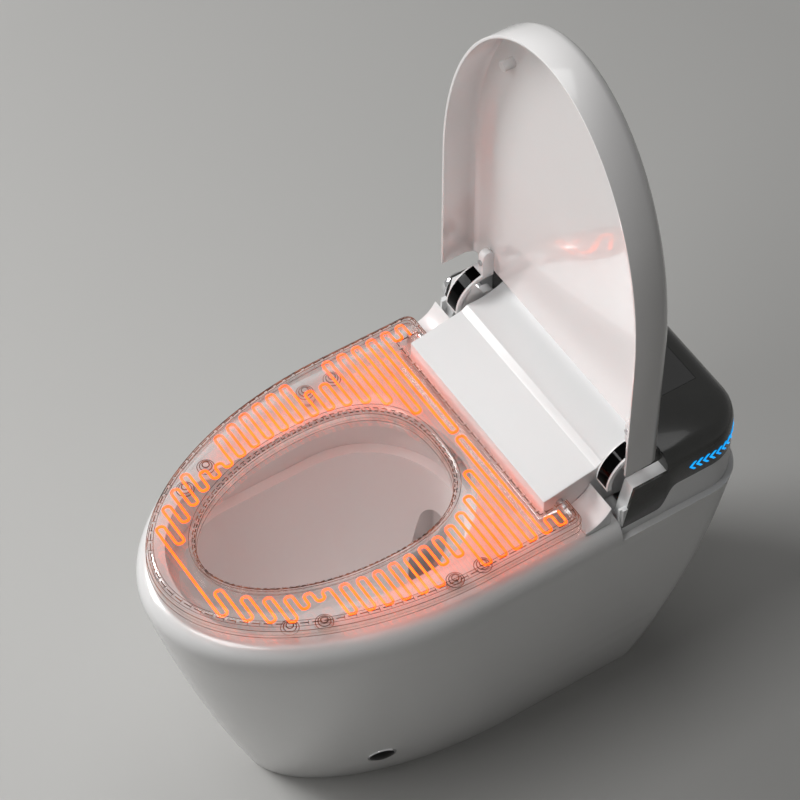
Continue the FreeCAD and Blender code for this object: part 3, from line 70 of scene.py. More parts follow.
class Surface:
    """A procedural material: a principled shader whose colour, roughness and bump come from noise."""

    def __init__(self, name):
        self.material = bpy.data.materials.new(name)
        self.material.use_nodes = True
        self.nodes = self.material.node_tree.nodes
        self.links = self.material.node_tree.links
        self.shader = self.nodes["Principled BSDF"]
        self.place = self.nodes.new("ShaderNodeTexCoord").outputs["Object"]

    def set(self, **sockets):
        for name, value in sockets.items():
            self.shader.inputs[name.replace("_", " ")].default_value = value
        return self

    def noise(self, scale, detail=3.0):
        node = self.nodes.new("ShaderNodeTexNoise")
        node.inputs["Scale"].default_value = scale
        node.inputs["Detail"].default_value = detail
        self.links.new(self.place, node.inputs["Vector"])
        return node.outputs["Fac"]

    def spread(self, value, to_low, to_high, from_low=0.0, from_high=1.0):
        """Socket whose value is stretched from one range to another."""
        node = self.nodes.new("ShaderNodeMapRange")
        node.inputs["From Min"].default_value = from_low
        node.inputs["From Max"].default_value = from_high
        node.inputs["To Min"].default_value = to_low
        node.inputs["To Max"].default_value = to_high
        self.links.new(value, node.inputs["Value"])
        return node.outputs["Result"]

    def math(self, operation, *values):
        """Clamped result of an operation on sockets and numbers."""
        node = self.nodes.new("ShaderNodeMath")
        node.operation = operation
        node.use_clamp = True
        for socket, value in zip(node.inputs, values):
            if isinstance(value, bpy.types.NodeSocket):
                self.links.new(value, socket)
            else:
                socket.default_value = value
        return node.outputs["Value"]

    def colour(self, low, high, scale):
        """Base colour that drifts between two tones."""
        ramp = self.nodes.new("ShaderNodeValToRGB")
        tones = ramp.color_ramp.elements
        tones[0].position, tones[1].position = 0.35, 0.65
        tones[0].color, tones[1].color = (*low, 1), (*high, 1)
        self.links.new(self.noise(scale), ramp.inputs["Fac"])
        self.links.new(ramp.outputs["Color"], self.shader.inputs["Base Color"])
        return self

    def glowing(self, strength):
        """Light of the base colour."""
        colour = self.shader.inputs["Base Color"].links[0].from_socket
        self.links.new(colour, self.shader.inputs["Emission Color"])
        return self.set(Emission_Strength=strength)

    def roughness(self, low, high, scale):
        self.links.new(self.spread(self.noise(scale), low, high), self.shader.inputs["Roughness"])
        return self

    def bump(self, scale, depth, strength):
        """Relief of the given depth in metres."""
        node = self.nodes.new("ShaderNodeBump")
        node.inputs["Strength"].default_value = strength
        node.inputs["Distance"].default_value = depth
        self.links.new(self.noise(scale, detail=2.0), node.inputs["Height"])
        self.links.new(node.outputs["Normal"], self.shader.inputs["Normal"])
        return self

    def upright(self, full=0.2, none=0.7):
        """One on walls that stand on edge in the piece's own space, none on level faces."""
        split = self.nodes.new("ShaderNodeSeparateXYZ")
        self.links.new(self.place.node.outputs["Normal"], split.inputs["Vector"])
        return self.spread(self.math("ABSOLUTE", split.outputs["Z"]), 1.0, 0.0, full, none)

    def streaks(self, scale, height_share=0.1, contrast=3.0):
        """Soft bars that run up a wall."""
        mapping = self.nodes.new("ShaderNodeMapping")
        mapping.inputs["Scale"].default_value = (1, 1, height_share)
        self.links.new(self.place, mapping.inputs["Vector"])
        node = self.nodes.new("ShaderNodeTexNoise")
        node.inputs["Scale"].default_value = scale
        self.links.new(mapping.outputs["Vector"], node.inputs["Vector"])
        return self.math("MULTIPLY_ADD", node.outputs["Fac"], contrast, (1 - contrast) / 2)


def glazed_ceramic():
    surface = Surface("glazed_ceramic").set(Coat_Weight=0.5, Coat_Roughness=0.08, IOR=1.5)
    surface.colour((0.775, 0.77, 0.765), (0.785, 0.78, 0.775), 5)
    return surface.roughness(0.20, 0.26, 14).bump(18, 0.0003, 0.1).material


def white_plastic():
    surface = Surface("white_plastic").set(IOR=1.46)
    surface.colour((0.80, 0.80, 0.80), (0.808, 0.808, 0.808), 12)
    return surface.roughness(0.27, 0.30, 4).material


def lid_plastic():
    surface = Surface("lid_plastic").set(Coat_Weight=0.8, Coat_Roughness=0.02, IOR=1.5)
    surface.colour((0.82, 0.805, 0.80), (0.828, 0.813, 0.808), 6)
    return surface.roughness(0.16, 0.20, 25).material


def black_gloss():
    surface = Surface("black_gloss").set(Coat_Weight=0.35, Coat_Roughness=0.06, IOR=1.45)
    surface.colour((0.030, 0.030, 0.027), (0.035, 0.035, 0.032), 40)
    return surface.roughness(0.22, 0.28, 30).material


def clear_plastic():
    """Clear skin that mirrors more towards grazing views, with a painted orange glow in streaks on its
    walls in place of the heater's light in the acrylic.
    """
    mirror_share, least_mirror = 0.4, 0.005
    painted_glow_strength, painted_glow_veil = 0.16, 0.22
    surface = Surface("clear_plastic").set(Metallic=1.0, Emission_Color=(1.0, 0.36, 0.22, 1))
    surface.colour((0.96, 0.93, 0.92), (1.0, 0.98, 0.97), 40).roughness(0.02, 0.06, 60)
    fresnel = surface.nodes.new("ShaderNodeFresnel")
    fresnel.inputs["IOR"].default_value = 1.5
    mirror = surface.math("MULTIPLY_ADD", fresnel.outputs["Fac"], mirror_share, least_mirror)
    # Painted glow: orange light painted in soft streaks up the walls, which are also made less clear there
    painted_glow_streaks = surface.math("MULTIPLY", surface.upright(), surface.streaks(110))
    surface.links.new(surface.math("MULTIPLY", painted_glow_streaks, painted_glow_strength), surface.shader.inputs["Emission Strength"])
    surface.links.new(surface.math("MULTIPLY_ADD", painted_glow_streaks, painted_glow_veil, mirror), surface.shader.inputs["Alpha"])
    return surface.material


def painted_wire_glow():
    """Wire with a painted orange glow, brighter along some stretches."""
    surface = Surface("heater_wire").set(Specular_IOR_Level=0.2)
    surface.colour((1.0, 0.09, 0.003), (1.0, 0.125, 0.005), 45)
    return surface.glowing(2.4).roughness(0.4, 0.55, 200).material


def painted_edge_shade_and_glints():
    """Dark lines of painted shade where the clear moulding's rounded edges look dark, with painted orange
    glints of the heater.
    """
    surface = Surface("painted_edge_shade_and_glints").set(IOR=1.46)
    surface.colour((0.012, 0.008, 0.007), (0.40, 0.13, 0.05), 70)
    return surface.roughness(0.2, 0.3, 90).material


def chrome_painted_dark():
    """Chrome with its colour painted near black: a painted reflection of a dark room."""
    surface = Surface("chrome_painted_dark").set(Metallic=1.0)
    surface.colour((0.004, 0.004, 0.004), (0.007, 0.007, 0.007), 60)
    return surface.roughness(0.03, 0.06, 120).material


def mark_light():
    """Backlit mark on the display."""
    surface = Surface("mark_light").colour((0.70, 0.74, 0.78), (0.80, 0.84, 0.88), 90)
    return surface.glowing(1.0).roughness(0.3, 0.4, 100).material


def chrome():
    surface = Surface("chrome").set(Metallic=1.0)
    surface.colour((0.72, 0.72, 0.73), (0.80, 0.80, 0.81), 50)
    return surface.roughness(0.03, 0.08, 120).material


def brushed_steel():
    surface = Surface("brushed_steel").set(Metallic=1.0)
    surface.colour((0.50, 0.50, 0.51), (0.62, 0.62, 0.63), 300)
    return surface.roughness(0.25, 0.4, 400).bump(900, 0.00002, 0.3).material


def soft_rubber():
    surface = Surface("soft_rubber").set(IOR=1.45)
    surface.colour((0.74, 0.73, 0.72), (0.78, 0.77, 0.76), 150)
    return surface.roughness(0.55, 0.7, 200).bump(1500, 0.00003, 0.4).material


def blue_light():
    surface = Surface("blue_light").colour((0.0, 0.30, 0.85), (0.005, 0.42, 1.0), 80)
    return surface.glowing(1.0).roughness(0.3, 0.4, 100).material


def display_glass():
    surface = Surface("display_glass").set(Coat_Weight=1.0, Coat_Roughness=0.01, IOR=1.52)
    surface.colour((0.006, 0.006, 0.007), (0.010, 0.010, 0.012), 60)
    return surface.roughness(0.03, 0.06, 40).material


def lens_glass():
    surface = Surface("lens_glass").set(Specular_IOR_Level=0.2, IOR=1.45)
    surface.colour((0.002, 0.002, 0.002), (0.005, 0.004, 0.004), 90)
    return surface.roughness(0.10, 0.16, 80).material


def grey_plastic():
    surface = Surface("grey_plastic").set(IOR=1.46)
    surface.colour((0.30, 0.31, 0.33), (0.36, 0.37, 0.39), 60)
    return surface.roughness(0.4, 0.55, 90).bump(1200, 0.00003, 0.4).material


def circuit_board():
    surface = Surface("circuit_board").set(IOR=1.5)
    surface.colour((0.03, 0.18, 0.08), (0.05, 0.26, 0.12), 220)
    return surface.roughness(0.3, 0.45, 90).material


SLOT_MATERIALS = {
    "ceramic": glazed_ceramic,
    "white_plastic": white_plastic,
    "lid_white": lid_plastic,
    "clear_plastic": clear_plastic,
    "black_gloss": black_gloss,
    "chrome": chrome,
    "steel": brushed_steel,
    "rubber": soft_rubber,
    "heater": painted_wire_glow,
    "light": blue_light,
    "display": display_glass,
    "lens": lens_glass,
    "grey_plastic": grey_plastic,
    "circuit": circuit_board,
}
MATERIALS = {slot: make() for slot, make in SLOT_MATERIALS.items()}
NODE_SLOTS = {entry["node"]: entry["material_slot"] for entry in frame["record"]["subparts"]}


def paint(piece, material):
    piece.data.materials.clear()
    piece.data.materials.append(material)


# CAD nodes: finish and soft edges (rounds in mm, angles in degrees)

SMOOTH_ANGLE = 32
SMOOTH_ANGLES = {"nozzle_cover": 20, "seat_upper": 62, "ceramic_body": 40}
WELD_DISTANCE = 0.01
EDGE_ANGLE = 40
EDGE_SEGMENTS = 2
EDGE_ROUNDS = {
    "unit_base": 0.8,
    "deck_plate": 0.8,
    "nozzle_cover": 1.2,
    "rear_cover": 0.6,
    "lid_shell": 1.0,
    "hinge_arm_right": 0.8,
    "hinge_arm_left": 0.8,
    "knob_ring": 0.8,
    "knob_button": 0.6,
    "sensor_ring": 0.5,
    "seat_bumpers": 0.8,
    "lid_bumpers": 1.0,
}


def smooth_by_angle(degrees):
    """Node group that shades a mesh smooth and keeps edges over the angle sharp."""
    tree = bpy.data.node_groups.new(f"smooth_{degrees}", "GeometryNodeTree")
    tree.interface.new_socket("Geometry", in_out="INPUT", socket_type="NodeSocketGeometry")
    tree.interface.new_socket("Geometry", in_out="OUTPUT", socket_type="NodeSocketGeometry")
    start = tree.nodes.new("NodeGroupInput")
    end = tree.nodes.new("NodeGroupOutput")
    faces = tree.nodes.new("GeometryNodeSetShadeSmooth")
    edges = tree.nodes.new("GeometryNodeSetShadeSmooth")
    edges.domain = "EDGE"
    angle = tree.nodes.new("GeometryNodeInputMeshEdgeAngle")
    flat = tree.nodes.new("FunctionNodeCompare")
    flat.operation = "LESS_THAN"
    flat.inputs["B"].default_value = math.radians(degrees)
    tree.links.new(angle.outputs["Unsigned Angle"], flat.inputs["A"])
    tree.links.new(start.outputs["Geometry"], faces.inputs["Geometry"])
    tree.links.new(faces.outputs["Geometry"], edges.inputs["Geometry"])
    tree.links.new(flat.outputs["Result"], edges.inputs["Shade Smooth"])
    tree.links.new(edges.outputs["Geometry"], end.inputs["Geometry"])
    return tree


SMOOTH = {degrees: smooth_by_angle(degrees) for degrees in {SMOOTH_ANGLE, *SMOOTH_ANGLES.values()}}


def finish_node(name):
    piece = NODES[name]
    paint(piece, MATERIALS[NODE_SLOTS[name]])
    weld = piece.modifiers.new("weld", "WELD")
    weld.merge_threshold = WELD_DISTANCE * MM
    if name in EDGE_ROUNDS:
        bevel = piece.modifiers.new("edge_round", "BEVEL")
        bevel.width = EDGE_ROUNDS[name] * MM
        bevel.segments = EDGE_SEGMENTS
        bevel.limit_method = "ANGLE"
        bevel.angle_limit = math.radians(EDGE_ANGLE)
        bevel.use_clamp_overlap = True
    smooth = piece.modifiers.new("smooth", "NODES")
    smooth.node_group = SMOOTH[SMOOTH_ANGLES.get(name, SMOOTH_ANGLE)]


for node_name in NODES:
    finish_node(node_name)


# Meshes of the scene's own pieces (mm)


def mesh_piece(name, vertices, faces, material, body):
    mesh = bpy.data.meshes.new(name)
    mesh.from_pydata([Vector(vertex) * MM for vertex in vertices], [], faces)
    mesh.polygons.foreach_set("use_smooth", [True] * len(mesh.polygons))
    piece = bpy.data.objects.new(name, mesh)
    bpy.context.scene.collection.objects.link(piece)
    paint(piece, material)
    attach(piece, body)
    return piece


def joined(parts):
    """Vertices and faces of several meshes as one."""
    vertices, faces = [], []
    for more_vertices, more_faces in parts:
        start = len(vertices)
        vertices += more_vertices
        faces += [tuple(start + corner for corner in face) for face in more_faces]
    return vertices, faces


def circle(x, y, radius, steps=32):
    turns = [2 * math.pi * step / steps for step in range(steps)]
    return [(x + radius * math.cos(turn), y + radius * math.sin(turn)) for turn in turns]


def filleted(points, radius, steps):
    """Line of points with its corners rounded."""
    out = [Vector(points[0])]
    for before, corner, after in zip(points, points[1:], points[2:]):
        corner = Vector(corner)
        arriving = Vector(before) - corner
        leaving = Vector(after) - corner
        reach = min(radius, arriving.length / 2, leaving.length / 2)
        start = corner + arriving.normalized() * reach
        end = corner + leaving.normalized() * reach
        for step in range(steps + 1):
            t = step / steps
            out.append(start * (1 - t) ** 2 + corner * 2 * t * (1 - t) + end * t ** 2)
    out.append(Vector(points[-1]))
    return out


def flat_tube(points, z, radius, sides, closed):
    """Vertices and faces of a round tube along a level line of points."""
    points = [Vector(point) for point in points]
    count = len(points)
    vertices, faces = [], []
    for index, point in enumerate(points):
        before = points[index - 1] if closed or index else point
        after = points[(index + 1) % count] if closed or index + 1 < count else point
        along = (after - before).normalized()
        across = Vector((-along.y, along.x))
        for side in range(sides):
            angle = 2 * math.pi * side / sides
            spot = point + across * radius * math.cos(angle)
            vertices.append((spot.x, spot.y, z + radius * math.sin(angle)))
    for index in range(count if closed else count - 1):
        for side in range(sides):
            other = (side + 1) % sides
            a = index * sides
            b = (index + 1) % count * sides
            faces.append((a + side, b + side, b + other, a + other))
    if not closed:
        faces.append(tuple(range(sides))[::-1])
        faces.append(tuple(range((count - 1) * sides, count * sides)))
    return vertices, faces


# Outlines of the seat, from the same values as the CAD (mm)

SEAT_HALF = 176
SEAT_FRONT = -323
SEAT_NOSE = 313
SEAT_REAR = 81
SEAT_TOP = 420
EAR_INNER = 138
EAR_END = 115
EAR_CORNER = 12
EAR_CORNER_INSET_SHARE = 0.5
OPENING_HALF = 97
OPENING_FRONT = -266
OPENING_WIDEST = -90
OPENING_REAR = 33
OPENING_FRONT_POWER = 2
OPENING_REAR_POWER = 2.5
NOSE_STEPS = 120
CORNER_STEPS = 6
OPENING_STEPS = 72


def seat_side(y, inset):
    """Half width of the seat, drawn in by the inset, at the place y."""
    half = SEAT_HALF - inset
    widest = SEAT_FRONT + SEAT_NOSE
    if y >= widest:
        return half
    return half * math.sqrt(max(0, 1 - ((widest - y) / (SEAT_NOSE - inset)) ** 2))


def opening_side(y, grow):
    """Half width of the opening, widened all round, at the place y."""
    if y > OPENING_WIDEST:
        reach, power = OPENING_REAR - OPENING_WIDEST + grow, OPENING_REAR_POWER
    else:
        reach, power = OPENING_WIDEST - OPENING_FRONT + grow, OPENING_FRONT_POWER
    share = min(1, abs(y - OPENING_WIDEST) / reach)
    return (OPENING_HALF + grow) * (1 - share ** power) ** (1 / power)


def seat_outline(inset):
    """Closed outline of the seat, from the right-hand side round the front."""
    half = SEAT_HALF - inset
    length = SEAT_NOSE - inset
    nose = []
    for step in range(NOSE_STEPS + 1):
        angle = math.pi * step / NOSE_STEPS
        nose.append((half * math.cos(angle), SEAT_FRONT + SEAT_NOSE - length * math.sin(angle)))
    corner = EAR_CORNER - inset * EAR_CORNER_INSET_SHARE
    end = EAR_END - inset
    left = []
    for step in range(CORNER_STEPS + 1):
        angle = math.pi / 2 * step / CORNER_STEPS
        left.append((-half + corner - corner * math.cos(angle), end - corner + corner * math.sin(angle)))
    left.append((-EAR_INNER - inset, end))
    left.append((-EAR_INNER - inset, SEAT_REAR - inset))
    return nose + left + [(-x, y) for x, y in reversed(left)]


def seat_edge(inset):
    """The seat's outline from one ear round the front to the other, open along the rear."""
    outline = seat_outline(inset)
    right_rear = outline.index((EAR_INNER + inset, SEAT_REAR - inset))
    left_rear = right_rear - 1
    return outline[right_rear + 1:] + outline[:left_rear]


def opening_outline(grow):
    right = []
    for step in range(OPENING_STEPS + 1):
        share = (1 - math.cos(math.pi * step / OPENING_STEPS)) / 2
        y = OPENING_FRONT - grow + (OPENING_REAR - OPENING_FRONT + 2 * grow) * share
        right.append((opening_side(y, grow), y))
    return right + [(-x, y) for x, y in reversed(right[1:-1])]


# Heating wire (mm)

WIRE_RADIUS = 1.6
WIRE_HEIGHT = SEAT_TOP - 5.2
WIRE_SIDES = 8
WIRE_BEND_STEPS = 7
HEATER_PITCH = 9.8
HEATER_FRONT = -286
HEATER_OUTER_INSET = 9.5
HEATER_OPENING_GAP = 12
HEATER_MIDDLE_GAP = 4
EAR_LOOP_INNER = 148
EAR_LEGS = 3
BUMPERS = ((152, -42), (119.7, -190))
BUMPER_REACH = 11


def heater_span(y):
    """Inner and outer end of a leg: from the opening to the outer edge, kept off the bumpers."""
    inner = max(opening_side(y, HEATER_OPENING_GAP), HEATER_MIDDLE_GAP)
    outer = seat_side(y, HEATER_OUTER_INSET)
    for bumper_x, bumper_y in BUMPERS:
        if abs(y - bumper_y) < BUMPER_REACH:
            outer = min(outer, bumper_x - BUMPER_REACH)
    return inner, outer


def heater_wire():
    """Wire in hairpins over both halves and into the ears, joined over the front."""
    legs = 2 * int((SEAT_REAR - HEATER_OUTER_INSET - HEATER_FRONT) / HEATER_PITCH / 2)
    rows = [HEATER_FRONT + (legs - leg) * HEATER_PITCH for leg in range(legs)]
    spans = [heater_span(y) for y in rows]
    ear_outer = spans[0][1]
    right = [(EAR_LOOP_INNER, rows[0] + EAR_LEGS * HEATER_PITCH)]
    for leg in range(EAR_LEGS, 0, -1):
        x = ear_outer if leg % 2 else EAR_LOOP_INNER
        right += [(x, rows[0] + leg * HEATER_PITCH), (x, rows[0] + (leg - 1) * HEATER_PITCH)]
    for leg in range(legs - 1):
        (inner, outer), (next_inner, next_outer) = spans[leg], spans[leg + 1]
        x = min(outer, next_outer) if leg % 2 else max(inner, next_inner)
        right += [(x, rows[leg]), (x, rows[leg + 1])]
    front_end = heater_span(HEATER_FRONT)[1]
    right += [(front_end, rows[-1]), (front_end, HEATER_FRONT)]
    path = filleted(right + [(-x, y) for x, y in reversed(right)], HEATER_PITCH / 2, WIRE_BEND_STEPS)
    vertices, faces = flat_tube(path, WIRE_HEIGHT, WIRE_RADIUS, WIRE_SIDES, False)
    piece = mesh_piece("heater_wire", vertices, faces, MATERIALS["heater"], "seat")
    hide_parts("seat_heater")


heater_wire()


# Fine lines of painted shade in the clear seat (mm). Lines: inset, depth under the top, radius

OUTER_LINES = ((0.6, 19.5, 0.35), (1.0, 8.0, 0.4), (3.4, 2.8, 0.3), (9.5, 0.4, 0.3))
OPENING_LINES = ((0.6, 19.5, 0.3), (1.0, 8.0, 0.35), (8.5, 0.5, 0.3))
# Dashes: inset, depth, radius, length of a stroke, gap
OUTER_DASHES = (6.2, 1.2, 0.55, 9, 4)
OPENING_DASHES = ((2.2, 4.4, 0.6, 4, 3), (4.6, 2.0, 0.5, 6, 4))
# Ticks: inset, depth, radius, half length, pitch
OUTER_TICKS = (6.2, 1.4, 0.35, 2.4, 13)
OPENING_TICKS = (3.4, 3.0, 0.35, 1.5, 9)
LINE_SIDES = 6
STROKE_SIDES = 5
BOSSES = ((154, -42), (154, -6), (124, -190), (110, -225))
# Rings of a boss: radius, depth, radius of the line
BOSS_RINGS = ((10, 22.4, 0.5), (7, 20.5, 0.6), (4, 18.0, 0.7))


def dashes(outline, inset, depth, radius, long, gap):
    """Short straight strokes along an outline."""
    ring = [Vector(point) for point in outline(inset)]
    parts = []
    stroke = [ring[0]]
    walked = 0
    drawing = True
    for start, end in zip(ring, ring[1:] + ring[:1]):
        whole = (end - start).length
        along = (end - start) / whole if whole else Vector((0, 0))
        place = 0
        while place < whole:
            left = (long if drawing else gap) - walked
            step = min(left, whole - place)
            place += step
            walked += step
            if drawing:
                stroke.append(start + along * place)
            if step == left:
                if drawing:
                    parts.append(flat_tube(stroke, SEAT_TOP - depth, radius, STROKE_SIDES, False))
                drawing = not drawing
                stroke = [start + along * place]
                walked = 0
    return parts


def ticks(outline, inset, depth, radius, half, pitch):
    """Strokes across an outline."""
    ring = [Vector(point) for point in outline(inset)]
    parts = []
    walked = 0
    for start, end in zip(ring, ring[1:]):
        whole = (end - start).length
        while walked < whole:
            along = (end - start).normalized()
            across = Vector((-along.y, along.x)) * half
            spot = start + along * walked
            stroke = [spot - across, spot + across]
            parts.append(flat_tube(stroke, SEAT_TOP - depth, radius, STROKE_SIDES, False))
            walked += pitch
        walked -= whole
    return parts


def painted_edge_lines():
    """Fine dark lines of painted shade and glints along the rounded edges of the clear shell, with ticks
    between them.
    """
    parts = []
    for inset, depth, radius in OUTER_LINES:
        parts.append(flat_tube(seat_edge(inset), SEAT_TOP - depth, radius, LINE_SIDES, False))
    parts += dashes(seat_outline, *OUTER_DASHES)
    parts += ticks(seat_outline, *OUTER_TICKS)
    for grow, depth, radius in OPENING_LINES:
        parts.append(flat_tube(opening_outline(grow), SEAT_TOP - depth, radius, LINE_SIDES, True))
    for strokes in OPENING_DASHES:
        parts += dashes(opening_outline, *strokes)
    parts += ticks(opening_outline, *OPENING_TICKS)
    vertices, faces = joined(parts)
    mesh_piece("painted_edge_lines", vertices, faces, painted_edge_shade_and_glints(), "seat")


def bumper_bosses():
    """Rings that outline the bosses of the lower shell, over and beside the pads, drawn as lines of painted
    shade and glints.
    """
    parts = []
    for x, y in [(x * side, y) for x, y in BOSSES for side in (-1, 1)]:
        for radius, depth, line in BOSS_RINGS:
            parts.append(flat_tube(circle(x, y, radius), SEAT_TOP - depth, line, LINE_SIDES, True))
    vertices, faces = joined(parts)
    mesh_piece("bumper_bosses", vertices, faces, painted_edge_shade_and_glints(), "seat")


painted_edge_lines()
bumper_bosses()


# Mirror bands of the hinges (mm and degrees about the lid's axis)

LID_AXIS = (195, 427)
BAND_RADII = (42, 42.8)
BAND_ANGLES = (101, 180)
BAND_SIDES = (141.5, 157.5)
BAND_STEPS = 48


def hinge_band(name, side, material):
    """Strip about the lid's axis, with crisp edges."""
    inner, outer = BAND_RADII
    near, far = BAND_SIDES
    first, last = BAND_ANGLES
    profile = [((near, outer), (far, outer)), ((far, outer), (far, inner)), ((near, inner), (near, outer))]
    parts = []
    for pair in profile:
        vertices, faces = [], []
        for step in range(BAND_STEPS + 1):
            turn = math.radians(first + (last - first) * step / BAND_STEPS)
            for x, radius in pair:
                y = LID_AXIS[0] + radius * math.cos(turn)
                vertices.append((x * side, y, LID_AXIS[1] + radius * math.sin(turn)))
        for step in range(BAND_STEPS):
            corner = step * 2
            faces.append((corner, corner + 1, corner + 3, corner + 2))
        parts.append((vertices, faces))
    vertices, faces = joined(parts)
    piece = mesh_piece("smooth_" + name, vertices, faces, material, "lid")
    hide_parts(name)


band_material = chrome_painted_dark()
hinge_band("hinge_band_right", 1, band_material)
hinge_band("hinge_band_left", -1, band_material)


# Window of the foot sensor (mm)

WINDOW_RADIUS = 15
WINDOW_BASE = 0.6
WINDOW_RISE = 3.5
WINDOW_RINGS = 8
WINDOW_SIDES = 40
OUTWARD_LEAST = 0.8


def sensor_window():
    """Domed black window that covers the lens and leaves a narrow rim of the ring."""
    lens = NODES["sensor_lens"]
    face = [polygon for polygon in lens.data.polygons if polygon.normal.x > OUTWARD_LEAST]
    area = sum(polygon.area for polygon in face)
    normal = sum((polygon.normal * polygon.area for polygon in face), Vector()).normalized()
    centre = sum((polygon.center * polygon.area for polygon in face), Vector()) / area
    middle = lens.matrix_world @ centre / MM
    across = normal.orthogonal().normalized()
    upward = normal.cross(across)
    vertices, faces = [middle + normal * (WINDOW_BASE + WINDOW_RISE)], []
    for ring in range(1, WINDOW_RINGS + 1):
        share = ring / WINDOW_RINGS
        lift = WINDOW_BASE + WINDOW_RISE * (1 - share ** 2)
        for side in range(WINDOW_SIDES):
            turn = 2 * math.pi * side / WINDOW_SIDES
            spoke = across * math.cos(turn) + upward * math.sin(turn)
            vertices.append(middle + spoke * WINDOW_RADIUS * share + normal * lift)
    for side in range(WINDOW_SIDES):
        other = (side + 1) % WINDOW_SIDES
        faces.append((0, 1 + side, 1 + other))
        for ring in range(WINDOW_RINGS - 1):
            near, far = 1 + ring * WINDOW_SIDES, 1 + (ring + 1) * WINDOW_SIDES
            faces.append((near + side, far + side, far + other, near + other))
    piece = mesh_piece("sensor_window", vertices, faces, MATERIALS["lens"], "pan")
    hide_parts("sensor_lens")


sensor_window()


# Marks on the display (mm, from the middle of the glass)

SEGMENTS = {"2": "abged", "3": "abgcd", "5": "afgcd", "8": "abcdefg"}
MARK_SINK = 0.05
MARK_THICKNESS = 0.12
DIGIT_WIDTH = 6
DIGIT_HEIGHT = 11
DIGIT_STROKE = 1.1
DIGIT_PITCH = 8
DIGIT_FOOT = -14
TEMPERATURES = ((-78, "38"), (64, "25"))
DEGREE_OFFSET = 18.5
DEGREE_PLACE = -4.5
DEGREE_RADIUS = 1.4
FINE_LINE = 0.25
KEYS = 6
KEY_FIRST = -50
KEY_PITCH = 20
KEY_ROW = 10
KEY_RADIUS = 7
KEY_LINE = 0.3
BAR_HALF = 3
BAR_PITCH = 3
BAR_HALF_STROKE = 0.4
LEVEL_PLACES = (-30, -10, 10, 30)
LEVEL_BAR = (-9.5, -8.7)
LEVEL_ROW = -14
LEVEL_RADIUS = 2


def plate(x_low, x_high, y_low, y_high, z):
    """Thin box lying on the display."""
    corners = ((x_low, y_low), (x_high, y_low), (x_high, y_high), (x_low, y_high))
    vertices = [(x, y, height) for height in (z, z + MARK_THICKNESS) for x, y in corners]
    faces = [(3, 2, 1, 0), (4, 5, 6, 7), (0, 1, 5, 4), (1, 2, 6, 5), (2, 3, 7, 6), (3, 0, 4, 7)]
    return vertices, faces


def digit(character, x, y, z):
    """Seven-segment figure, read by a person who stands before the toilet."""
    half = DIGIT_HEIGHT / 2
    right, top, stroke = x + DIGIT_WIDTH, y + DIGIT_HEIGHT, DIGIT_STROKE
    places = {
        "a": (x, right, top - stroke, top),
        "b": (right - stroke, right, y + half, top),
        "c": (right - stroke, right, y, y + half),
        "d": (x, right, y, y + stroke),
        "e": (x, x + stroke, y, y + half),
        "f": (x, x + stroke, y + half, top),
        "g": (x, right, y + half - stroke / 2, y + half + stroke / 2),
    }
    return [plate(*places[segment], z) for segment in SEGMENTS[character]]


def ring(x, y, radius, z, line):
    return flat_tube(circle(x, y, radius), z, line, LINE_SIDES, True)


def key_marks(index, middle, z):
    """Round key with one to three bars, every other one with an upright."""
    x, row = KEY_FIRST + index * KEY_PITCH, middle + KEY_ROW
    parts = [ring(x, row, KEY_RADIUS, z, KEY_LINE)]
    for bar in range(index % 3 + 1):
        y = row + (bar - index % 3 / 2) * BAR_PITCH
        parts.append(plate(x - BAR_HALF, x + BAR_HALF, y - BAR_HALF_STROKE, y + BAR_HALF_STROKE, z))
    if index % 2:
        parts.append(plate(x - BAR_HALF_STROKE, x + BAR_HALF_STROKE, row - BAR_HALF, row + BAR_HALF, z))
    return parts


def display_marks():
    """Two temperatures and a row of round keys, raised a hair above the glass."""
    low, high = (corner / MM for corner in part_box("display_window"))
    z = high.z - MARK_SINK
    middle = (low.y + high.y) / 2
    parts = []
    for x, figures in TEMPERATURES:
        for index, figure in enumerate(figures):
            parts += digit(figure, x + index * DIGIT_PITCH, middle + DIGIT_FOOT, z)
        parts.append(ring(x + DEGREE_OFFSET, middle + DEGREE_PLACE, DEGREE_RADIUS, z, FINE_LINE))
    for index in range(KEYS):
        parts += key_marks(index, middle, z)
    for x in LEVEL_PLACES:
        bar_low, bar_high = LEVEL_BAR
        parts.append(plate(x - BAR_HALF, x + BAR_HALF, middle + bar_low, middle + bar_high, z))
        parts.append(ring(x, middle + LEVEL_ROW, LEVEL_RADIUS, z, FINE_LINE))
    vertices, faces = joined(parts)
    mesh_piece("display_marks", vertices, faces, mark_light(), "pan")


display_marks()


# Stage (metres, watts)

FLOOR_SIZE = 12.0
FLOOR_COLOUR = (0.56, 0.555, 0.54, 1)
FLOOR_LIFT = 0.6
FLOOR_LIFT_NEAR = 1.2
FLOOR_LIFT_FAR = 4.0
BACKGROUND_COLOUR = (0.85, 0.85, 0.84, 1)
WORLD_LIGHT = 0.08
WORLD_SEEN = 0.45
# Lamps: place, target, size, power
LAMPS = {
    "key": ((-2.4, -2.0, 2.7), (0, 0, 0.4), 1.4, 100),
    "fill": ((2.6, -1.4, 1.6), (0, 0, 0.4), 2.0, 1),
    "top": ((-0.4, 0.2, 3.6), (0, 0, 0.4), 1.6, 12),
    "over_bowl": ((0.05, -0.85, 1.95), (0, 0, 0.45), 0.7, 9),
}


def seen_directly(tree):
    """One for rays from the camera, a mirror or clear plastic, none for the light on the object."""
    path = tree.nodes.new("ShaderNodeLightPath")
    total = path.outputs["Is Camera Ray"]
    for kind in ("Is Glossy Ray", "Is Transmission Ray"):
        node = tree.nodes.new("ShaderNodeMath")
        node.operation = "MAXIMUM"
        tree.links.new(total, node.inputs[0])
        tree.links.new(path.outputs[kind], node.inputs[1])
        total = node.outputs["Value"]
    return total


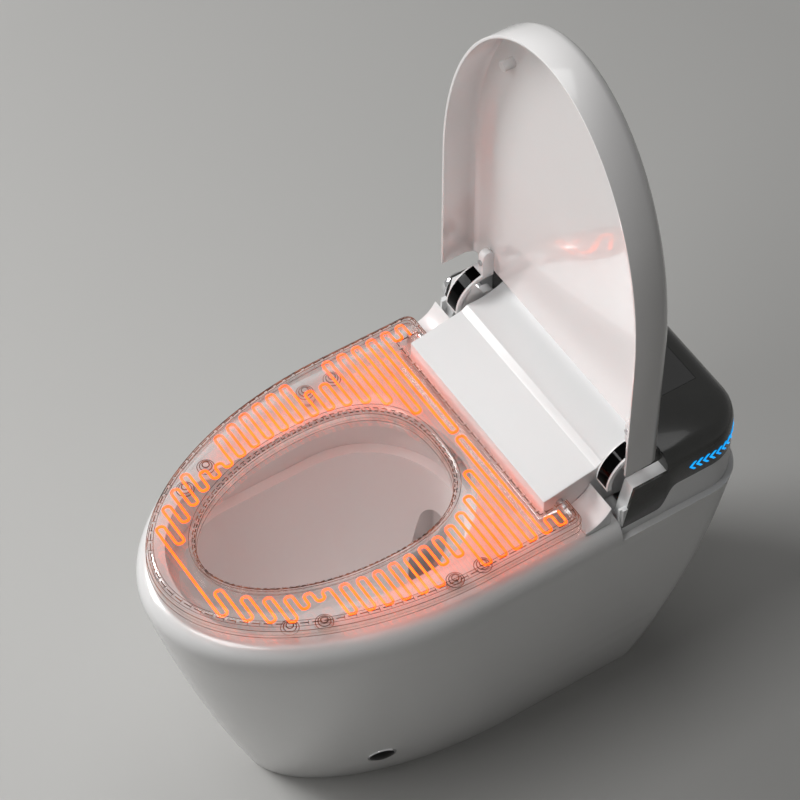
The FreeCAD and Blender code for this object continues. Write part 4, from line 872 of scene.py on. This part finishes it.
def floor():
    """Pale floor, lifted far from the object where the camera or a mirror sees it."""
    half = FLOOR_SIZE / 2
    corners = [(-half, -half, 0), (half, -half, 0), (half, half, 0), (-half, half, 0)]
    mesh = bpy.data.meshes.new("floor")
    mesh.from_pydata(corners, [], [(0, 1, 2, 3)])
    piece = bpy.data.objects.new("floor", mesh)
    bpy.context.scene.collection.objects.link(piece)
    surface = Surface("floor").set(Base_Color=FLOOR_COLOUR, Emission_Color=FLOOR_COLOUR)
    surface.roughness(0.6, 0.75, 3)
    distance = surface.nodes.new("ShaderNodeVectorMath")
    distance.operation = "LENGTH"
    surface.links.new(surface.place, distance.inputs[0])
    lift = surface.spread(distance.outputs["Value"], 0.0, FLOOR_LIFT, FLOOR_LIFT_NEAR, FLOOR_LIFT_FAR)
    glow = surface.math("MULTIPLY", lift, seen_directly(surface.material.node_tree))
    surface.links.new(glow, surface.shader.inputs["Emission Strength"])
    paint(piece, surface.material)


def world():
    made = bpy.data.worlds.new("studio")
    made.use_nodes = True
    tree = made.node_tree
    background = tree.nodes["Background"]
    background.inputs["Color"].default_value = BACKGROUND_COLOUR
    spread = tree.nodes.new("ShaderNodeMapRange")
    spread.inputs["To Min"].default_value = WORLD_LIGHT
    spread.inputs["To Max"].default_value = WORLD_SEEN
    tree.links.new(seen_directly(tree), spread.inputs["Value"])
    tree.links.new(spread.outputs["Result"], background.inputs["Strength"])
    bpy.context.scene.world = made


def lamp(name, place, target, size, power):
    data = bpy.data.lights.new(name, "AREA")
    data.shape = "SQUARE"
    data.size = size
    data.energy = power
    piece = bpy.data.objects.new(name, data)
    piece.location = place
    piece.rotation_euler = (Vector(place) - Vector(target)).to_track_quat("Z", "Y").to_euler()
    bpy.context.scene.collection.objects.link(piece)


def camera():
    azimuth = math.radians(CAMERA_AZIMUTH)
    elevation = math.radians(CAMERA_ELEVATION)
    level = math.cos(elevation)
    back = Vector((math.sin(azimuth) * level, -math.cos(azimuth) * level, math.sin(elevation)))
    data = bpy.data.cameras.new("camera")
    data.lens = CAMERA_LENS
    data.sensor_width = SENSOR_WIDTH
    piece = bpy.data.objects.new("camera", data)
    piece.location = CAMERA_TARGET + back * CAMERA_DISTANCE
    piece.rotation_euler = back.to_track_quat("Z", "Y").to_euler()
    bpy.context.scene.collection.objects.link(piece)
    bpy.context.scene.camera = piece


floor()
world()
for lamp_name, lamp_values in LAMPS.items():
    lamp(lamp_name, *lamp_values)
camera()
bpy.context.scene.view_settings.view_transform = "Standard"
